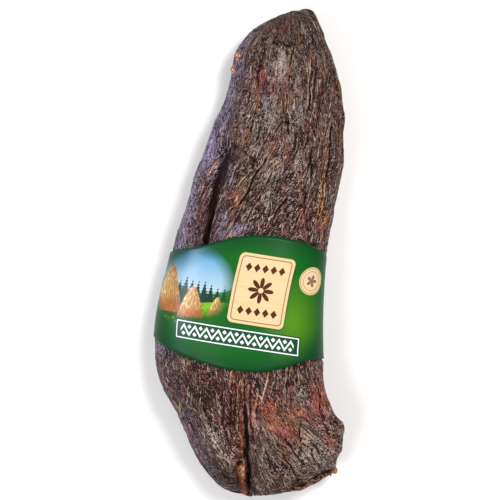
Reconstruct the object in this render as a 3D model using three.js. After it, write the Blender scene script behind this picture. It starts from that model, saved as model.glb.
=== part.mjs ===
// Whole piece of air-dried beef prosciutto, lying on its flatter side, with a printed paper sleeve round its middle.
// Millimetres, +Z up, +Y along the muscle towards its narrow end. The origin is under the middle, on the floor.
import * as THREE from "three";
import { ImprovedNoise } from "three/addons/math/ImprovedNoise.js";

// How finely the two solids are faceted
const facetsRound = 96;
const meatRings = 42;
const sleeveRows = 8;

// The muscle is lofted through ribs, from the blunt end to the narrow end. Each rib has the outline's left and right
// edge as [x, y], the height of those edges, the height of the crown, and the depth of the belly before it is trimmed.
const bluntTip = [9, -185, 22];
const narrowTip = [21.5, 185, 18];
const ribs = [
  { left: [-15, -178.3], right: [43.5, -176.5], edge: 23, crown: 43, belly: 5 },
  { left: [-32, -162], right: [69, -161.5], edge: 26, crown: 55, belly: -1 },
  { left: [-43.5, -139], right: [73.4, -130], edge: 29, crown: 63, belly: -3 },
  { left: [-59, -115], right: [67, -116], edge: 31, crown: 67, belly: -3 },
  { left: [-67.5, -96], right: [57.5, -96], edge: 32, crown: 68, belly: -3 },
  { left: [-71.8, -64], right: [52.3, -62], edge: 33, crown: 68, belly: -3 },
  { left: [-63.3, 1], right: [50.2, 10], edge: 33, crown: 67, belly: -3 },
  { left: [-49.3, 64], right: [57.3, 66], edge: 31, crown: 63, belly: -3 },
  { left: [-36.2, 112], right: [53.7, 112], edge: 28, crown: 56, belly: -3 },
  { left: [-29.3, 148], right: [43.2, 148], edge: 25, crown: 47, belly: -2 },
  { left: [-17, 166.5], right: [33.7, 167], edge: 22, crown: 38, belly: 3 },
  { left: [5, 179], right: [27.5, 181], edge: 19, crown: 30, belly: 9 },
];
const crownShift = 0.12; // the crown stands right of the middle by this share of the half width
const sectionPower = 2.3; // a rib's section: 2 is an ellipse, more has fuller shoulders

// Folds, cracks and dents of the upper side, seen from above: a path of [x, y], how wide and how deep
const hollows = [
  { path: [[-27, 77], [-34, 63], [-35, 46], [-39, 24], [-41, 4], [-44, -40]], width: 5.5, depth: 7 }, // left fold
  { path: [[-27, 77], [-17, 72], [-6, 63]], width: 5, depth: 3 }, // cross fold at its upper end
  { path: [[0, 73], [-10, 49], [-20, 30]], width: 4, depth: 2.4 }, // slanting crack of the crown
  { path: [[18, 44], [9, 28]], width: 4, depth: 1.8 },
  { path: [[13, 102], [12, 86]], width: 4.5, depth: 2.2 }, // short crack of the crown
  { path: [[45, 102], [45, 72], [42, 44]], width: 4.5, depth: 2.6 }, // crack down the right side
  { path: [[-10, 158], [6, 155]], width: 5, depth: 2.4 }, // pits near the narrow end
  { path: [[-10, 133], [-9, 118]], width: 4.5, depth: 2.2 },
  { path: [[-3, -92], [-2, -118], [0, -136], [4, -156], [7, -184]], width: 7, depth: 8 }, // crease to the blunt end
  { path: [[-18, -104], [-16, -130], [-10, -146]], width: 4.5, depth: 2.2 }, // furrow beside that crease
  { path: [[40, -120], [42, -138]], width: 5, depth: 2.6 }, // dent of the right lobe
  { path: [[72, -157], [52, -168], [36, -174]], width: 4, depth: 3.5 }, // torn lower edge of the right lobe
];
// Swellings of the upper side, in the same terms
const swellings = [
  { path: [[-45, 52], [-56, 8]], width: 8, depth: 2.6 }, // left roll
  { path: [[3, 150], [4, 122]], width: 8, depth: 2 }, // smooth ridge of the crown
  { path: [[-22, -134], [-14, -158]], width: 10, depth: 3 }, // left lobe of the blunt end
  { path: [[28, -142], [50, -150]], width: 14, depth: 3 }, // right lobe of the blunt end
  { path: [[-9, -100], [-8, -140]], width: 4.5, depth: 1.6 }, // band between the two furrows
];
const upperFrom = { low: 8, high: 26 }; // these fade in between these heights

// Random relief: lumps, then folds and wrinkles that run along the muscle. Each starts from its own place in the noise.
const lumps = { size: 34, height: 2.4, from: [7.7, 0, 2.2] };
const folds = { across: 9, along: 60, height: 1.9, from: [11.3, 5.7, 3.1] };
const wrinkles = { across: 4.6, along: 34, height: 1.3, from: [2.9, 8.3, 6.4] };
const grainRadius = 45; // the grain is read off a round bar of this radius, bent to the muscle's section
const calmTip = 32; // the grain dies out within this distance of the two tips

// The sleeve is a loop of stiff paper, tall in front and narrow behind. Its edges are smooth curves through these
// [top y, foot y], an eighth of a turn apart, starting at the right side and going over the front.
const sleeveEdges = [
  [-3, -75],
  [6.5, -77.5],
  [11.7, -89],
  [-0.5, -81.5],
  [-6.5, -70],
  [-11, -63],
  [-14, -60],
  [-10, -66],
];
const paper = 0.4; // its thickness
const clearance = 0.5; // between the meat and the paper
const sleeveFloor = 0.1; // the paper stays just clear of the floor
const pressedMargin = 10; // the meat stays pressed smooth this far outside the sleeve
const pressedZone = 6; // and its relief comes back over this length

const noise = new ImprovedNoise();
const tips = [bluntTip, narrowTip].map((tip) => new THREE.Vector3(...tip));
const smooth = THREE.MathUtils.smoothstep;

// Rails: two closed curves through the ribs, one round the outline and one over the crown and under the belly
const middleOf = (rib) => [(rib.left[0] + rib.right[0]) / 2, (rib.left[1] + rib.right[1]) / 2];

function railThrough(forward, back) {
  const points = [bluntTip, ...forward, narrowTip, ...back.reverse()].map((p) => new THREE.Vector3(...p));
  return new THREE.CatmullRomCurve3(points, true, "centripetal");
}

const outline = railThrough(
  ribs.map((rib) => [...rib.left, rib.edge]),
  ribs.map((rib) => [...rib.right, rib.edge]),
);
const profile = railThrough(
  ribs.map((rib) => {
    const [x, y] = middleOf(rib);
    return [x + (crownShift * (rib.right[0] - rib.left[0])) / 2, y, rib.crown];
  }),
  ribs.map((rib) => [...middleOf(rib), rib.belly]),
);

function railsAt(t) {
  return {
    left: outline.getPoint(t / 2),
    right: outline.getPoint(1 - t / 2),
    crown: profile.getPoint(t / 2),
    belly: profile.getPoint(1 - t / 2),
  };
}

// A point of the smooth muscle: t runs from 0 at the blunt tip to 1 at the narrow one, and angle 0 is the right edge
function bodyPoint(t, angle) {
  const { left, right, crown, belly } = railsAt(t);
  const middle = left.clone().lerp(right, 0.5);
  const across = Math.abs(Math.cos(angle)) ** (2 / sectionPower);
  const up = Math.abs(Math.sin(angle)) ** (2 / sectionPower);
  const side = (Math.cos(angle) > 0 ? right : left).sub(middle);
  const top = (Math.sin(angle) > 0 ? crown : belly).sub(middle);
  return middle.addScaledVector(side, across).addScaledVector(top, up);
}

// The smooth muscle's outward normal there
function bodyNormal(t, angle) {
  const step = 0.004;
  const turn = 0.03;
  const along = bodyPoint(Math.min(t + step, 1), angle).sub(bodyPoint(Math.max(t - step, 0), angle));
  const round = bodyPoint(t, angle + turn).sub(bodyPoint(t, angle - turn));
  return along.cross(round).normalize();
}

const sleeveCurve = new THREE.CatmullRomCurve3(
  sleeveEdges.map(([top, foot]) => new THREE.Vector3(top, foot, 0)),
  true,
  "catmullrom",
);

// The y of the sleeve's edges at an angle round the muscle
function sleeveSpan(angle) {
  const { x: top, y: foot } = sleeveCurve.getPoint(angle / (2 * Math.PI));
  return { top, foot };
}

// 1 where the paper presses on the meat, fading to 0 clear of it
function underSleeve(y, angle) {
  const { top, foot } = sleeveSpan(angle);
  return 1 - smooth(Math.max(y - top, foot - y) - pressedMargin, 0, pressedZone);
}

// Depth of a list of hollows or swellings at a place seen from above, each fading away from its path
function reliefFrom(features, x, y) {
  const place = new THREE.Vector3(x, y, 0);
  const nearest = new THREE.Vector3();
  let total = 0;
  for (const { path, width, depth } of features) {
    let distance = Infinity;
    for (let i = 1; i < path.length; i++) {
      const leg = new THREE.Line3(new THREE.Vector3(...path[i - 1], 0), new THREE.Vector3(...path[i], 0));
      leg.closestPointToPoint(place, true, nearest);
      distance = Math.min(distance, nearest.distanceTo(place));
    }
    total += depth * Math.exp(-((distance / width) ** 2));
  }
  return total;
}

// The height of one layer of grain at a point of the skin
function grain(point, angle, { across, along, height, from }) {
  const u = (grainRadius * Math.cos(angle)) / across;
  const v = (grainRadius * Math.sin(angle)) / across;
  const fade = smooth(Math.min(...tips.map((tip) => tip.distanceTo(point))), 0, calmTip);
  return fade * height * noise.noise(u + from[0], v + from[1], point.y / along + from[2]);
}

// How far the skin stands out of the smooth muscle
function relief(point, angle) {
  const { size, height, from } = lumps;
  const [x, y, z] = point.toArray().map((value, i) => value / size + from[i]);
  let out = height * noise.noise(x, y, z);
  out += grain(point, angle, folds) + grain(point, angle, wrinkles);
  const upper = Math.sin(angle) > 0 ? smooth(point.z, upperFrom.low, upperFrom.high) : 0;
  out += upper * (reliefFrom(swellings, point.x, point.y) - reliefFrom(hollows, point.x, point.y));
  return THREE.MathUtils.lerp(out, Math.min(out, 0), underSleeve(point.y, angle));
}

// Rings are spaced by the mean length of the four rails, so that the rounded ends get their share
function ringPositions(count) {
  const samples = 400;
  const lengths = [0];
  let last = railsAt(0);
  for (let i = 1; i <= samples; i++) {
    const next = railsAt(i / samples);
    const step = Object.keys(next).reduce((sum, key) => sum + next[key].distanceTo(last[key]), 0);
    lengths.push(lengths[i - 1] + step / 4);
    last = next;
  }
  const positions = [];
  let i = 0;
  for (let ring = 1; ring <= count; ring++) {
    const wanted = (lengths[samples] * ring) / (count + 1);
    while (lengths[i + 1] < wanted) i++;
    positions.push((i + (wanted - lengths[i]) / (lengths[i + 1] - lengths[i])) / samples);
  }
  return positions;
}

const angles = Array.from({ length: facetsRound }, (_, i) => (2 * Math.PI * (i + 0.5)) / facetsRound);

// Closed rings of points become one skin, each ring joined to the next
function joinRings(ringCount, closed) {
  const faces = [];
  const lastRing = closed ? ringCount : ringCount - 1;
  for (let ring = 0; ring < lastRing; ring++) {
    for (let i = 0; i < facetsRound; i++) {
      const j = (i + 1) % facetsRound;
      const here = ring * facetsRound;
      const next = ((ring + 1) % ringCount) * facetsRound;
      faces.push(here + i, next + i, next + j, here + i, next + j, here + j);
    }
  }
  return faces;
}

function geometryOf(points, faces) {
  const geometry = new THREE.BufferGeometry().setFromPoints(points);
  geometry.setIndex(faces);
  geometry.computeVertexNormals();
  return geometry;
}

function meatGeometry() {
  const points = [];
  for (const t of ringPositions(meatRings)) {
    for (const angle of angles) {
      const point = bodyPoint(t, angle);
      const floor = (sleeveFloor + paper + clearance) * underSleeve(point.y, angle);
      point.addScaledVector(bodyNormal(t, angle), relief(point, angle));
      point.z = Math.max(point.z, floor);
      points.push(point);
    }
  }
  const faces = joinRings(meatRings, false);
  const blunt = points.push(tips[0]) - 1;
  const narrow = points.push(tips[1]) - 1;
  const lastRing = (meatRings - 1) * facetsRound;
  for (let i = 0; i < facetsRound; i++) {
    const j = (i + 1) % facetsRound;
    faces.push(blunt, i, j, narrow, lastRing + j, lastRing + i);
  }
  return geometryOf(points, faces);
}

// The place along the muscle where its skin has a given y at an angle
function alongAt(y, angle) {
  let low = 0;
  let high = 1;
  for (let i = 0; i < 30; i++) {
    const t = (low + high) / 2;
    if (bodyPoint(t, angle).y < y) low = t;
    else high = t;
  }
  return (low + high) / 2;
}

function sleeveGeometry() {
  const skin = (row, proud, floor) =>
    angles.map((angle) => {
      const { top, foot } = sleeveSpan(angle);
      const y = THREE.MathUtils.lerp(foot, top, row / sleeveRows);
      const t = alongAt(y, angle);
      const point = bodyPoint(t, angle).addScaledVector(bodyNormal(t, angle), proud);
      point.z = Math.max(point.z, floor);
      return point;
    });
  const rings = [];
  for (let row = 0; row <= sleeveRows; row++) {
    rings.push(skin(row, clearance + paper, sleeveFloor));
  }
  for (let row = sleeveRows; row >= 0; row--) {
    rings.push(skin(row, clearance, sleeveFloor + paper));
  }
  return geometryOf(rings.flat(), joinRings(rings.length, true));
}

const driedBeef = new THREE.MeshStandardMaterial({ color: 0x4a3733, roughness: 0.6, metalness: 0 });
const printedPaper = new THREE.MeshStandardMaterial({ color: 0x1f7a2e, roughness: 0.4, metalness: 0 });

const meat = new THREE.Mesh(meatGeometry(), driedBeef);
meat.name = "meat";
const sleeve = new THREE.Mesh(sleeveGeometry(), printedPaper);
sleeve.name = "label_sleeve";

const prosciutto = new THREE.Group();
prosciutto.add(meat, sleeve);

// Centre the whole over the origin, standing on the floor
const bounds = new THREE.Box3().setFromObject(prosciutto);
const centre = bounds.getCenter(new THREE.Vector3());
prosciutto.position.set(-centre.x, -centre.y, -bounds.min.z);

export default prosciutto;
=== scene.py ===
import math

import bmesh
import bpy
import numpy as np
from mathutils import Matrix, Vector, noise
from mathutils.bvhtree import BVHTree


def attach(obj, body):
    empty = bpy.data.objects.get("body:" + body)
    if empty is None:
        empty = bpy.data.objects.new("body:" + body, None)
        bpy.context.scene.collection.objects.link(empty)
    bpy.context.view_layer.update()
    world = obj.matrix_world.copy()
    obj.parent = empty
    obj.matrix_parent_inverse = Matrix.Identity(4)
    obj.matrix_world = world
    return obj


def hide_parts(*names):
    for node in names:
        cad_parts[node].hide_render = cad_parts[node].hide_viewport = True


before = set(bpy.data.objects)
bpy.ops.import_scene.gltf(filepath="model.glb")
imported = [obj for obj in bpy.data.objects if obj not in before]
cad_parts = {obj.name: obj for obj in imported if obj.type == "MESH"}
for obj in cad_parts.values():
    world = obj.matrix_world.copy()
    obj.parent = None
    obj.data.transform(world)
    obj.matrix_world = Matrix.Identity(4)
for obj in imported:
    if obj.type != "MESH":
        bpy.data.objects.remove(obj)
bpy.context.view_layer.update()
scene = bpy.context.scene
mm = 0.001


# A value in the node tree that is being drawn up. It is added and multiplied as a plain number is, and its
# brackets give another output of the same node.
class Wire:
    tree = None

    def __init__(self, socket):
        self.socket = socket

    def __getitem__(self, output):
        return Wire(self.socket.node.outputs[output])

    def __add__(self, other):
        return calc("ADD", self, other)

    def __sub__(self, other):
        return calc("SUBTRACT", self, other)

    def __rsub__(self, other):
        return calc("SUBTRACT", other, self)

    def __mul__(self, other):
        return calc("MULTIPLY", self, other)

    def __truediv__(self, other):
        return calc("DIVIDE", self, other)

    def __abs__(self):
        return calc("ABSOLUTE", self)


def feed(socket, value):
    if isinstance(value, Wire):
        Wire.tree.links.new(value.socket, socket)
    else:
        socket.default_value = value


def add(kind, values=None, output=0, **settings):
    node = Wire.tree.nodes.new(kind)
    for name, value in settings.items():
        setattr(node, name, value)
    for name, value in (values or {}).items():
        feed(node.inputs[name], value)
    return Wire(node.outputs[output]) if node.outputs else None


def isNumber(value):
    return value.socket.type == "VALUE" if isinstance(value, Wire) else not isinstance(value, tuple)


def calc(operation, a, b=0.0, clamped=False):
    if isNumber(a):
        return add("ShaderNodeMath", {0: a, 1: b}, operation=operation, use_clamp=clamped)
    if operation == "MULTIPLY" and isNumber(b):
        return add("ShaderNodeVectorMath", {0: a, "Scale": b}, operation="SCALE")
    return add("ShaderNodeVectorMath", {0: a, 1: (0, 0, 0) if isNumber(b) else b}, operation=operation)


def length(a):
    return add("ShaderNodeVectorMath", {0: a}, "Value", operation="LENGTH")


def joined(x=0.0, y=0.0, z=0.0):
    return add("ShaderNodeCombineXYZ", {0: x, 1: y, 2: z})


def parts(a):
    x = add("ShaderNodeSeparateXYZ", {0: a})
    return x, x["Y"]


def between(value, low, high, toLow=0.0, toHigh=1.0):
    return add("ShaderNodeMapRange", {0: value, 1: low, 2: high, 3: toLow, 4: toHigh})


def mixed(amount, a, b):
    return add("ShaderNodeMix", {0: amount, 2: a, 3: b}, data_type="FLOAT")


def opaque(colour):
    return (*colour, 1) if isinstance(colour, tuple) else colour


# Lays coats over a colour, each by its amount
def coated(colour, *coats):
    for amount, coat in coats:
        colour = add("ShaderNodeMix", {0: amount, 6: opaque(colour), 7: opaque(coat)}, 2, data_type="RGBA")
    return colour


def attribute(name, output="Fac"):
    return add("ShaderNodeAttribute", None, output, attribute_name=name)


def cloud(place, detail=2.0, scale=1.0):
    return add("ShaderNodeTexNoise", {"Vector": place, "Scale": scale, "Detail": detail})


def newMaterial(name):
    material = bpy.data.materials.new(name)
    material.use_nodes = True
    Wire.tree = material.node_tree
    return material


def setSurface(values):
    for name, value in values.items():
        feed(Wire.tree.nodes["Principled BSDF"].inputs[name], value)


def addObject(name, data):
    made = bpy.data.objects.new(name, data)
    scene.collection.objects.link(made)
    return made


def evaluated(host):
    return bpy.data.meshes.new_from_object(host.evaluated_get(bpy.context.evaluated_depsgraph_get()))


def smoothStep(x, low, high):
    t = np.clip((x - low) / (high - low), 0, 1)
    return t * t * (3 - 2 * t)


def bell(reach, spread):
    weights = np.exp(-0.5 * (np.arange(-reach, reach + 1) / spread) ** 2)
    return weights / weights.sum()


def blurLines(grid, axis, weights):
    return np.apply_along_axis(lambda line: np.convolve(line, weights, "valid"), axis, grid)


def noiseAt(places):
    found = [noise.noise(p) for p in places.reshape(-1, 3).tolist()]
    return np.array(found).reshape(places.shape[:-1])


# Camera, lights and floor

# The photograph looks straight down on the piece. One of its 500 pixels is 0.75 mm here, and the muscle
# leans 4.86 degrees clockwise from upright.
view = {
    "framed": 375 * mm,  # what the image spans at the height of the object's outline
    "aim": (-7.7 * mm, 0.1 * mm, 30 * mm),
    "distance": 1.7,
    "lean": 4.86,
}
world = {"colour": (0.97, 0.98, 1.0), "strength": 0.38}
lamps = {
    "key": {"at": (0.34, 0.36, 1.1), "size": 0.4, "power": 11.5, "colour": (1.0, 0.96, 0.93)},
    "fill": {"at": (-0.5, -0.45, 1.0), "size": 0.6, "power": 8, "colour": (1.0, 0.98, 0.99)},
    "sheen": {"at": (-0.8, 0.1, 0.5), "size": 0.35, "power": 16, "colour": (0.72, 0.72, 1.0)},
}
floor = {"half": 6, "below": 0.2 * mm, "colour": (0.92, 0.92, 0.92, 1), "rough": 0.9}


def setCamera():
    lens = bpy.data.cameras.new("camera")
    lens.lens = lens.sensor_width * view["distance"] / view["framed"]
    lens.clip_end = 20
    scene.camera = addObject("camera", lens)
    scene.camera.location = Vector(view["aim"]) + Vector((0, 0, view["distance"]))
    scene.camera.rotation_euler = (0, 0, math.radians(view["lean"]))


def setLights():
    scene.world = bpy.data.worlds.new("studio")
    scene.world.use_nodes = True
    background = scene.world.node_tree.nodes["Background"].inputs
    background["Color"].default_value = opaque(world["colour"])
    background["Strength"].default_value = world["strength"]
    for name, values in lamps.items():
        lamp = bpy.data.lights.new(name, "AREA")
        lamp.shape = "DISK"
        lamp.size, lamp.energy, lamp.color = values["size"], values["power"], values["colour"]
        holder = addObject(name, lamp)
        holder.location = values["at"]
        holder.visible_diffuse = name != "sheen"  # the sheen light only glints
        holder.rotation_euler = (Vector((0, 0, 0.03)) - holder.location).to_track_quat("-Z", "Y").to_euler()


def layFloor():
    mesh = bpy.data.meshes.new("floor")
    corners = [(x * floor["half"], y * floor["half"], 0) for x, y in ((-1, -1), (1, -1), (1, 1), (-1, 1))]
    mesh.from_pydata(corners, [], [(0, 1, 2, 3)])
    mesh.materials.append(newMaterial("paleFloor"))
    setSurface({"Base Color": floor["colour"], "Roughness": floor["rough"]})
    placed = addObject("floor", mesh)
    placed.location.z = -floor["below"]


scene.view_settings.view_transform = "Standard"
setCamera()
setLights()
layFloor()
print("stage set")


# Meat skin: rays cast from the muscle's middle find the solid's surface on a grid that follows its fibres

skin = {
    "across": 0.74,  # grid spacing round the upper side and the flanks, mm
    "acrossBelow": 3.2,
    "along": 1.26,
    "alongCovered": 5.0,
    "covered": (-54, -22),  # the sleeve hides the whole girth between these, mm
    "bluntCap": 30,  # the grid turns round these lengths at the two ends, mm
    "narrowCap": 24,
    "stations": 30,  # cuts across the muscle that its middle line is drawn through
    "cut": 4,  # half the thickness of each cut, mm
    "rays": 1441,  # cast round the middle section to measure its arc
    "underside": (9, 3),  # heights at which the wider spacing begins and is full, mm
}


# The solid's surface with its facets smoothed out
def smoothCopy(node):
    cage = bmesh.new()
    cage.from_mesh(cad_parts[node].data)
    bmesh.ops.remove_doubles(cage, verts=cage.verts, dist=1e-6)
    anyAngle = {"angle_face_threshold": math.pi, "angle_shape_threshold": math.pi}
    bmesh.ops.join_triangles(cage, faces=cage.faces, **anyAngle)
    mesh = bpy.data.meshes.new("cage")
    cage.to_mesh(mesh)
    cage.free()
    holder = addObject("cage", mesh)
    holder.modifiers.new("smooth", "SUBSURF").levels = 2
    smooth = evaluated(holder)
    bpy.data.objects.remove(holder)
    return smooth


def treeOf(mesh):
    return BVHTree.FromPolygons([v.co for v in mesh.vertices], [list(p.vertices) for p in mesh.polygons])


def readValues(mesh, name):
    flat = np.empty(len(mesh.vertices) * 3)
    mesh.vertices.foreach_get(name, flat)
    return flat.reshape(-1, 3)


meatSurface = smoothCopy("meat")
meatTree = treeOf(meatSurface)
sleeveTree = treeOf(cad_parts["label_sleeve"].data)
meatPoints = readValues(meatSurface, "co")
lowest, highest = meatPoints.min(0), meatPoints.max(0)


# The middle line of the muscle: half way across and half way up at each y
def middleLine():
    cut = skin["cut"] * mm
    stations = np.linspace(lowest[1] + 2 * cut, highest[1] - 1.5 * cut, skin["stations"])
    slices = [meatPoints[abs(meatPoints[:, 1] - y) < cut] for y in stations]
    centres = np.array([(s.min(0) + s.max(0)) / 2 for s in slices])
    for column in (0, 2):
        centres[1:-1, column] = np.convolve(centres[:, column], (0.25, 0.5, 0.25), "valid")

    def middle(y):
        x, z = (np.interp(y, stations, centres[:, column]) for column in (0, 2))
        return np.stack([x, y, z], -1)

    return middle


middleAt = middleLine()


def hit(tree, origin, direction):
    place = tree.ray_cast(Vector(origin), Vector(direction))[0]
    return place if place else Vector(origin)


# Angles round the muscle, spaced by their arc on the middle section, closer above than below
def anglesRound():
    turns = np.linspace(0, 2 * math.pi, skin["rays"])
    origin = middleAt(0.0)
    ring = np.array([hit(meatTree, origin, (math.sin(a), 0, math.cos(a))) for a in turns])
    arcs = np.concatenate([[0], np.cumsum(np.linalg.norm(np.diff(ring, axis=0), axis=1))]) / mm
    below = smoothStep((ring[1:, 2] + ring[:-1, 2]) / (2 * mm), *skin["underside"])
    spacing = skin["across"] + (skin["acrossBelow"] - skin["across"]) * below
    counts = np.concatenate([[0], np.cumsum(np.diff(arcs) / spacing)])
    total = int(round(counts[-1]))
    wanted = np.arange(total) * counts[-1] / total
    arc, girth = np.interp(wanted, counts, arcs), arcs[-1]
    return np.interp(wanted, counts, turns), np.where(arc > girth / 2, arc - girth, arc), girth


angles, arcAcross, girth = anglesRound()
roundRadius = girth / (2 * math.pi)
caps = ("bluntCap", "narrowCap")


# Rows of the grid: where the rays start and how far they lean over to the end
def rowsAlong():
    quarter = math.pi / 2
    bluntTurns, narrowTurns = (int(quarter * skin[cap] / skin["along"]) for cap in caps)
    y, end = lowest[1] / mm + skin["bluntCap"], highest[1] / mm - skin["narrowCap"]
    rows = [(y, quarter * i / bluntTurns) for i in range(bluntTurns)]
    while y < end:
        rows.append((y, quarter))
        y += skin["alongCovered"] if skin["covered"][0] < y < skin["covered"][1] else skin["along"]
    return rows + [(end, quarter * (1 + i / narrowTurns)) for i in range(narrowTurns + 1)]


def castSkin():
    places, grain = [], []
    for y, lean in rowsAlong():
        origin = middleAt(y * mm)
        pole = lean in (0.0, math.pi)
        cap = skin[caps[lean > math.pi / 2]]
        out = math.sin(lean)
        for angle, arc in zip(angles[:1] if pole else angles, arcAcross):
            direction = (out * math.sin(angle), -math.cos(lean), out * math.cos(angle))
            places.append(hit(meatTree, origin, direction))
            grain.append((arc, max(out, 0.0) ** 0.4, y - math.cos(lean) * cap * 1.3))
    return np.array(places) / mm, np.array(grain)


def gridFaces(rings, size):
    here = np.arange(size)
    after = (here + 1) % size
    ring = 1 + size * np.arange(rings - 1)[:, None]
    corners = [ring + here, ring + after, ring + size + after, ring + size + here]
    quads = np.stack(corners, -1).reshape(-1, 4)
    last = 1 + size * (rings - 1)
    blunt = np.stack([0 * here, 1 + after, 1 + here], -1)
    narrow = np.stack([0 * here + last + size, last + here, last + after], -1)
    return quads.tolist() + blunt.tolist() + narrow.tolist()


skinPlaces, skinGrain = castSkin()
ringSize = len(angles)
ringCount = (len(skinPlaces) - 2) // ringSize
skinFaces = gridFaces(ringCount, ringSize)
print("meat grid:", ringCount, "rings of", ringSize)


# Blurs a value over the grid, by so many rings along and so many places round
def blurred(values, along, around):
    grid = values[1:-1].reshape(ringCount, ringSize)
    for axis, spread, mode in ((0, along, "edge"), (1, around, "wrap")):
        margin = [(0, 0), (0, 0)]
        margin[axis] = (2 * spread, 2 * spread)
        grid = blurLines(np.pad(grid, margin, mode=mode), axis, bell(2 * spread, spread))
    return np.concatenate([values[:1], grid.reshape(-1), values[-1:]])


def normalsOf(places):
    mesh = bpy.data.meshes.new("normals")
    mesh.from_pydata(places.tolist(), [], skinFaces)
    normals = readValues(mesh, "normal")
    bpy.data.meshes.remove(mesh)
    return normals


def unit(vectors):
    return vectors / np.maximum(np.linalg.norm(vectors, axis=1, keepdims=True), 1e-9)


skinNormals = normalsOf(skinPlaces)
skinX, skinY, skinZ = skinPlaces.T
upper = smoothStep(skinNormals[:, 2], -0.15, 0.25)
sleeveGap = np.array([sleeveTree.find_nearest(Vector(p * mm))[3] for p in skinPlaces]) / mm
covered = 1 - smoothStep(sleeveGap, 1.2, 3.2)


# Two fibre spaces, in which noise is stretched along the fibres: one straightens the muscle, and the other
# fans out over the lobe to the right of the crease
fibres = {
    "crownSlant": 0.3,  # mm that a fibre above the sleeve goes sideways for each mm along
    "crownFrom": 84,
    "lobeCentre": (-18, -88),
    "lobeSpread": 76,  # mm of arc for each radian of the fan
    "waver": 1.3,  # mm
}


def lumpNoise(size, seed):
    return noiseAt(skinPlaces / size + seed * 5.17)


def lobeShare():
    edge = 5 * lumpNoise(11, 61)
    return smoothStep(skinY + edge, -108, -126) * smoothStep(skinX + 0.6 * edge, 5, 15) * upper


def bodySpace():
    arc, out, along = skinGrain.T
    bend = crownSlant * np.clip(fibres["crownFrom"] - skinY, 0, 90)
    turn = (arc + bend + fibres["waver"] * lumpNoise(15, 60)) / roundRadius
    return np.stack([out * roundRadius * np.sin(turn), out * roundRadius * np.cos(turn), along], -1)


def lobeSpace():
    turn = np.arctan2(lobeX, -lobeY) * fibres["lobeSpread"]
    return np.stack([turn + 0.5 * fibres["waver"] * lumpNoise(9, 62), skinZ, np.hypot(lobeX, lobeY)], -1)


# The way the fibres run at each vertex
def flowAlong():
    grid = skinPlaces[1:-1].reshape(ringCount, ringSize, 3)
    along = unit(np.gradient(grid, axis=0).reshape(-1, 3))
    sideways = unit((np.roll(grid, -1, 1) - np.roll(grid, 1, 1)).reshape(-1, 3))
    slant = (crownSlant * (skinY < fibres["crownFrom"]) * (skinY > 0))[1:-1, None]
    body = unit(along + slant * sideways)
    body = np.concatenate([body[:1], body, body[-1:]])
    fan = np.stack([lobeX, lobeY, 0 * skinX], -1)
    fan = unit(fan - skinNormals * (fan * skinNormals).sum(1, keepdims=True))
    return unit(body * (1 - lobe[:, None]) - fan * lobe[:, None])


crownSlant = smoothStep(skinX, 56, -20) * smoothStep(skinX, -50, -36) * smoothStep(skinY, -62, -8) * upper
crownSlant *= fibres["crownSlant"]
lobeX, lobeY = skinX - fibres["lobeCentre"][0], skinY - fibres["lobeCentre"][1]
lobe = lobeShare()
bodyPlaces, lobePlaces = bodySpace(), lobeSpace()
flow = flowAlong()


def grainNoise(across, along, seed):
    scale = np.array((across, across, along))
    body = noiseAt(bodyPlaces / scale + seed * 7.31)
    onLobe = np.flatnonzero(lobe > 0.01)
    fan = noiseAt(lobePlaces[onLobe] / scale + seed * 3.77)
    body[onLobe] += lobe[onLobe] * (fan - body[onLobe])
    return body


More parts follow.
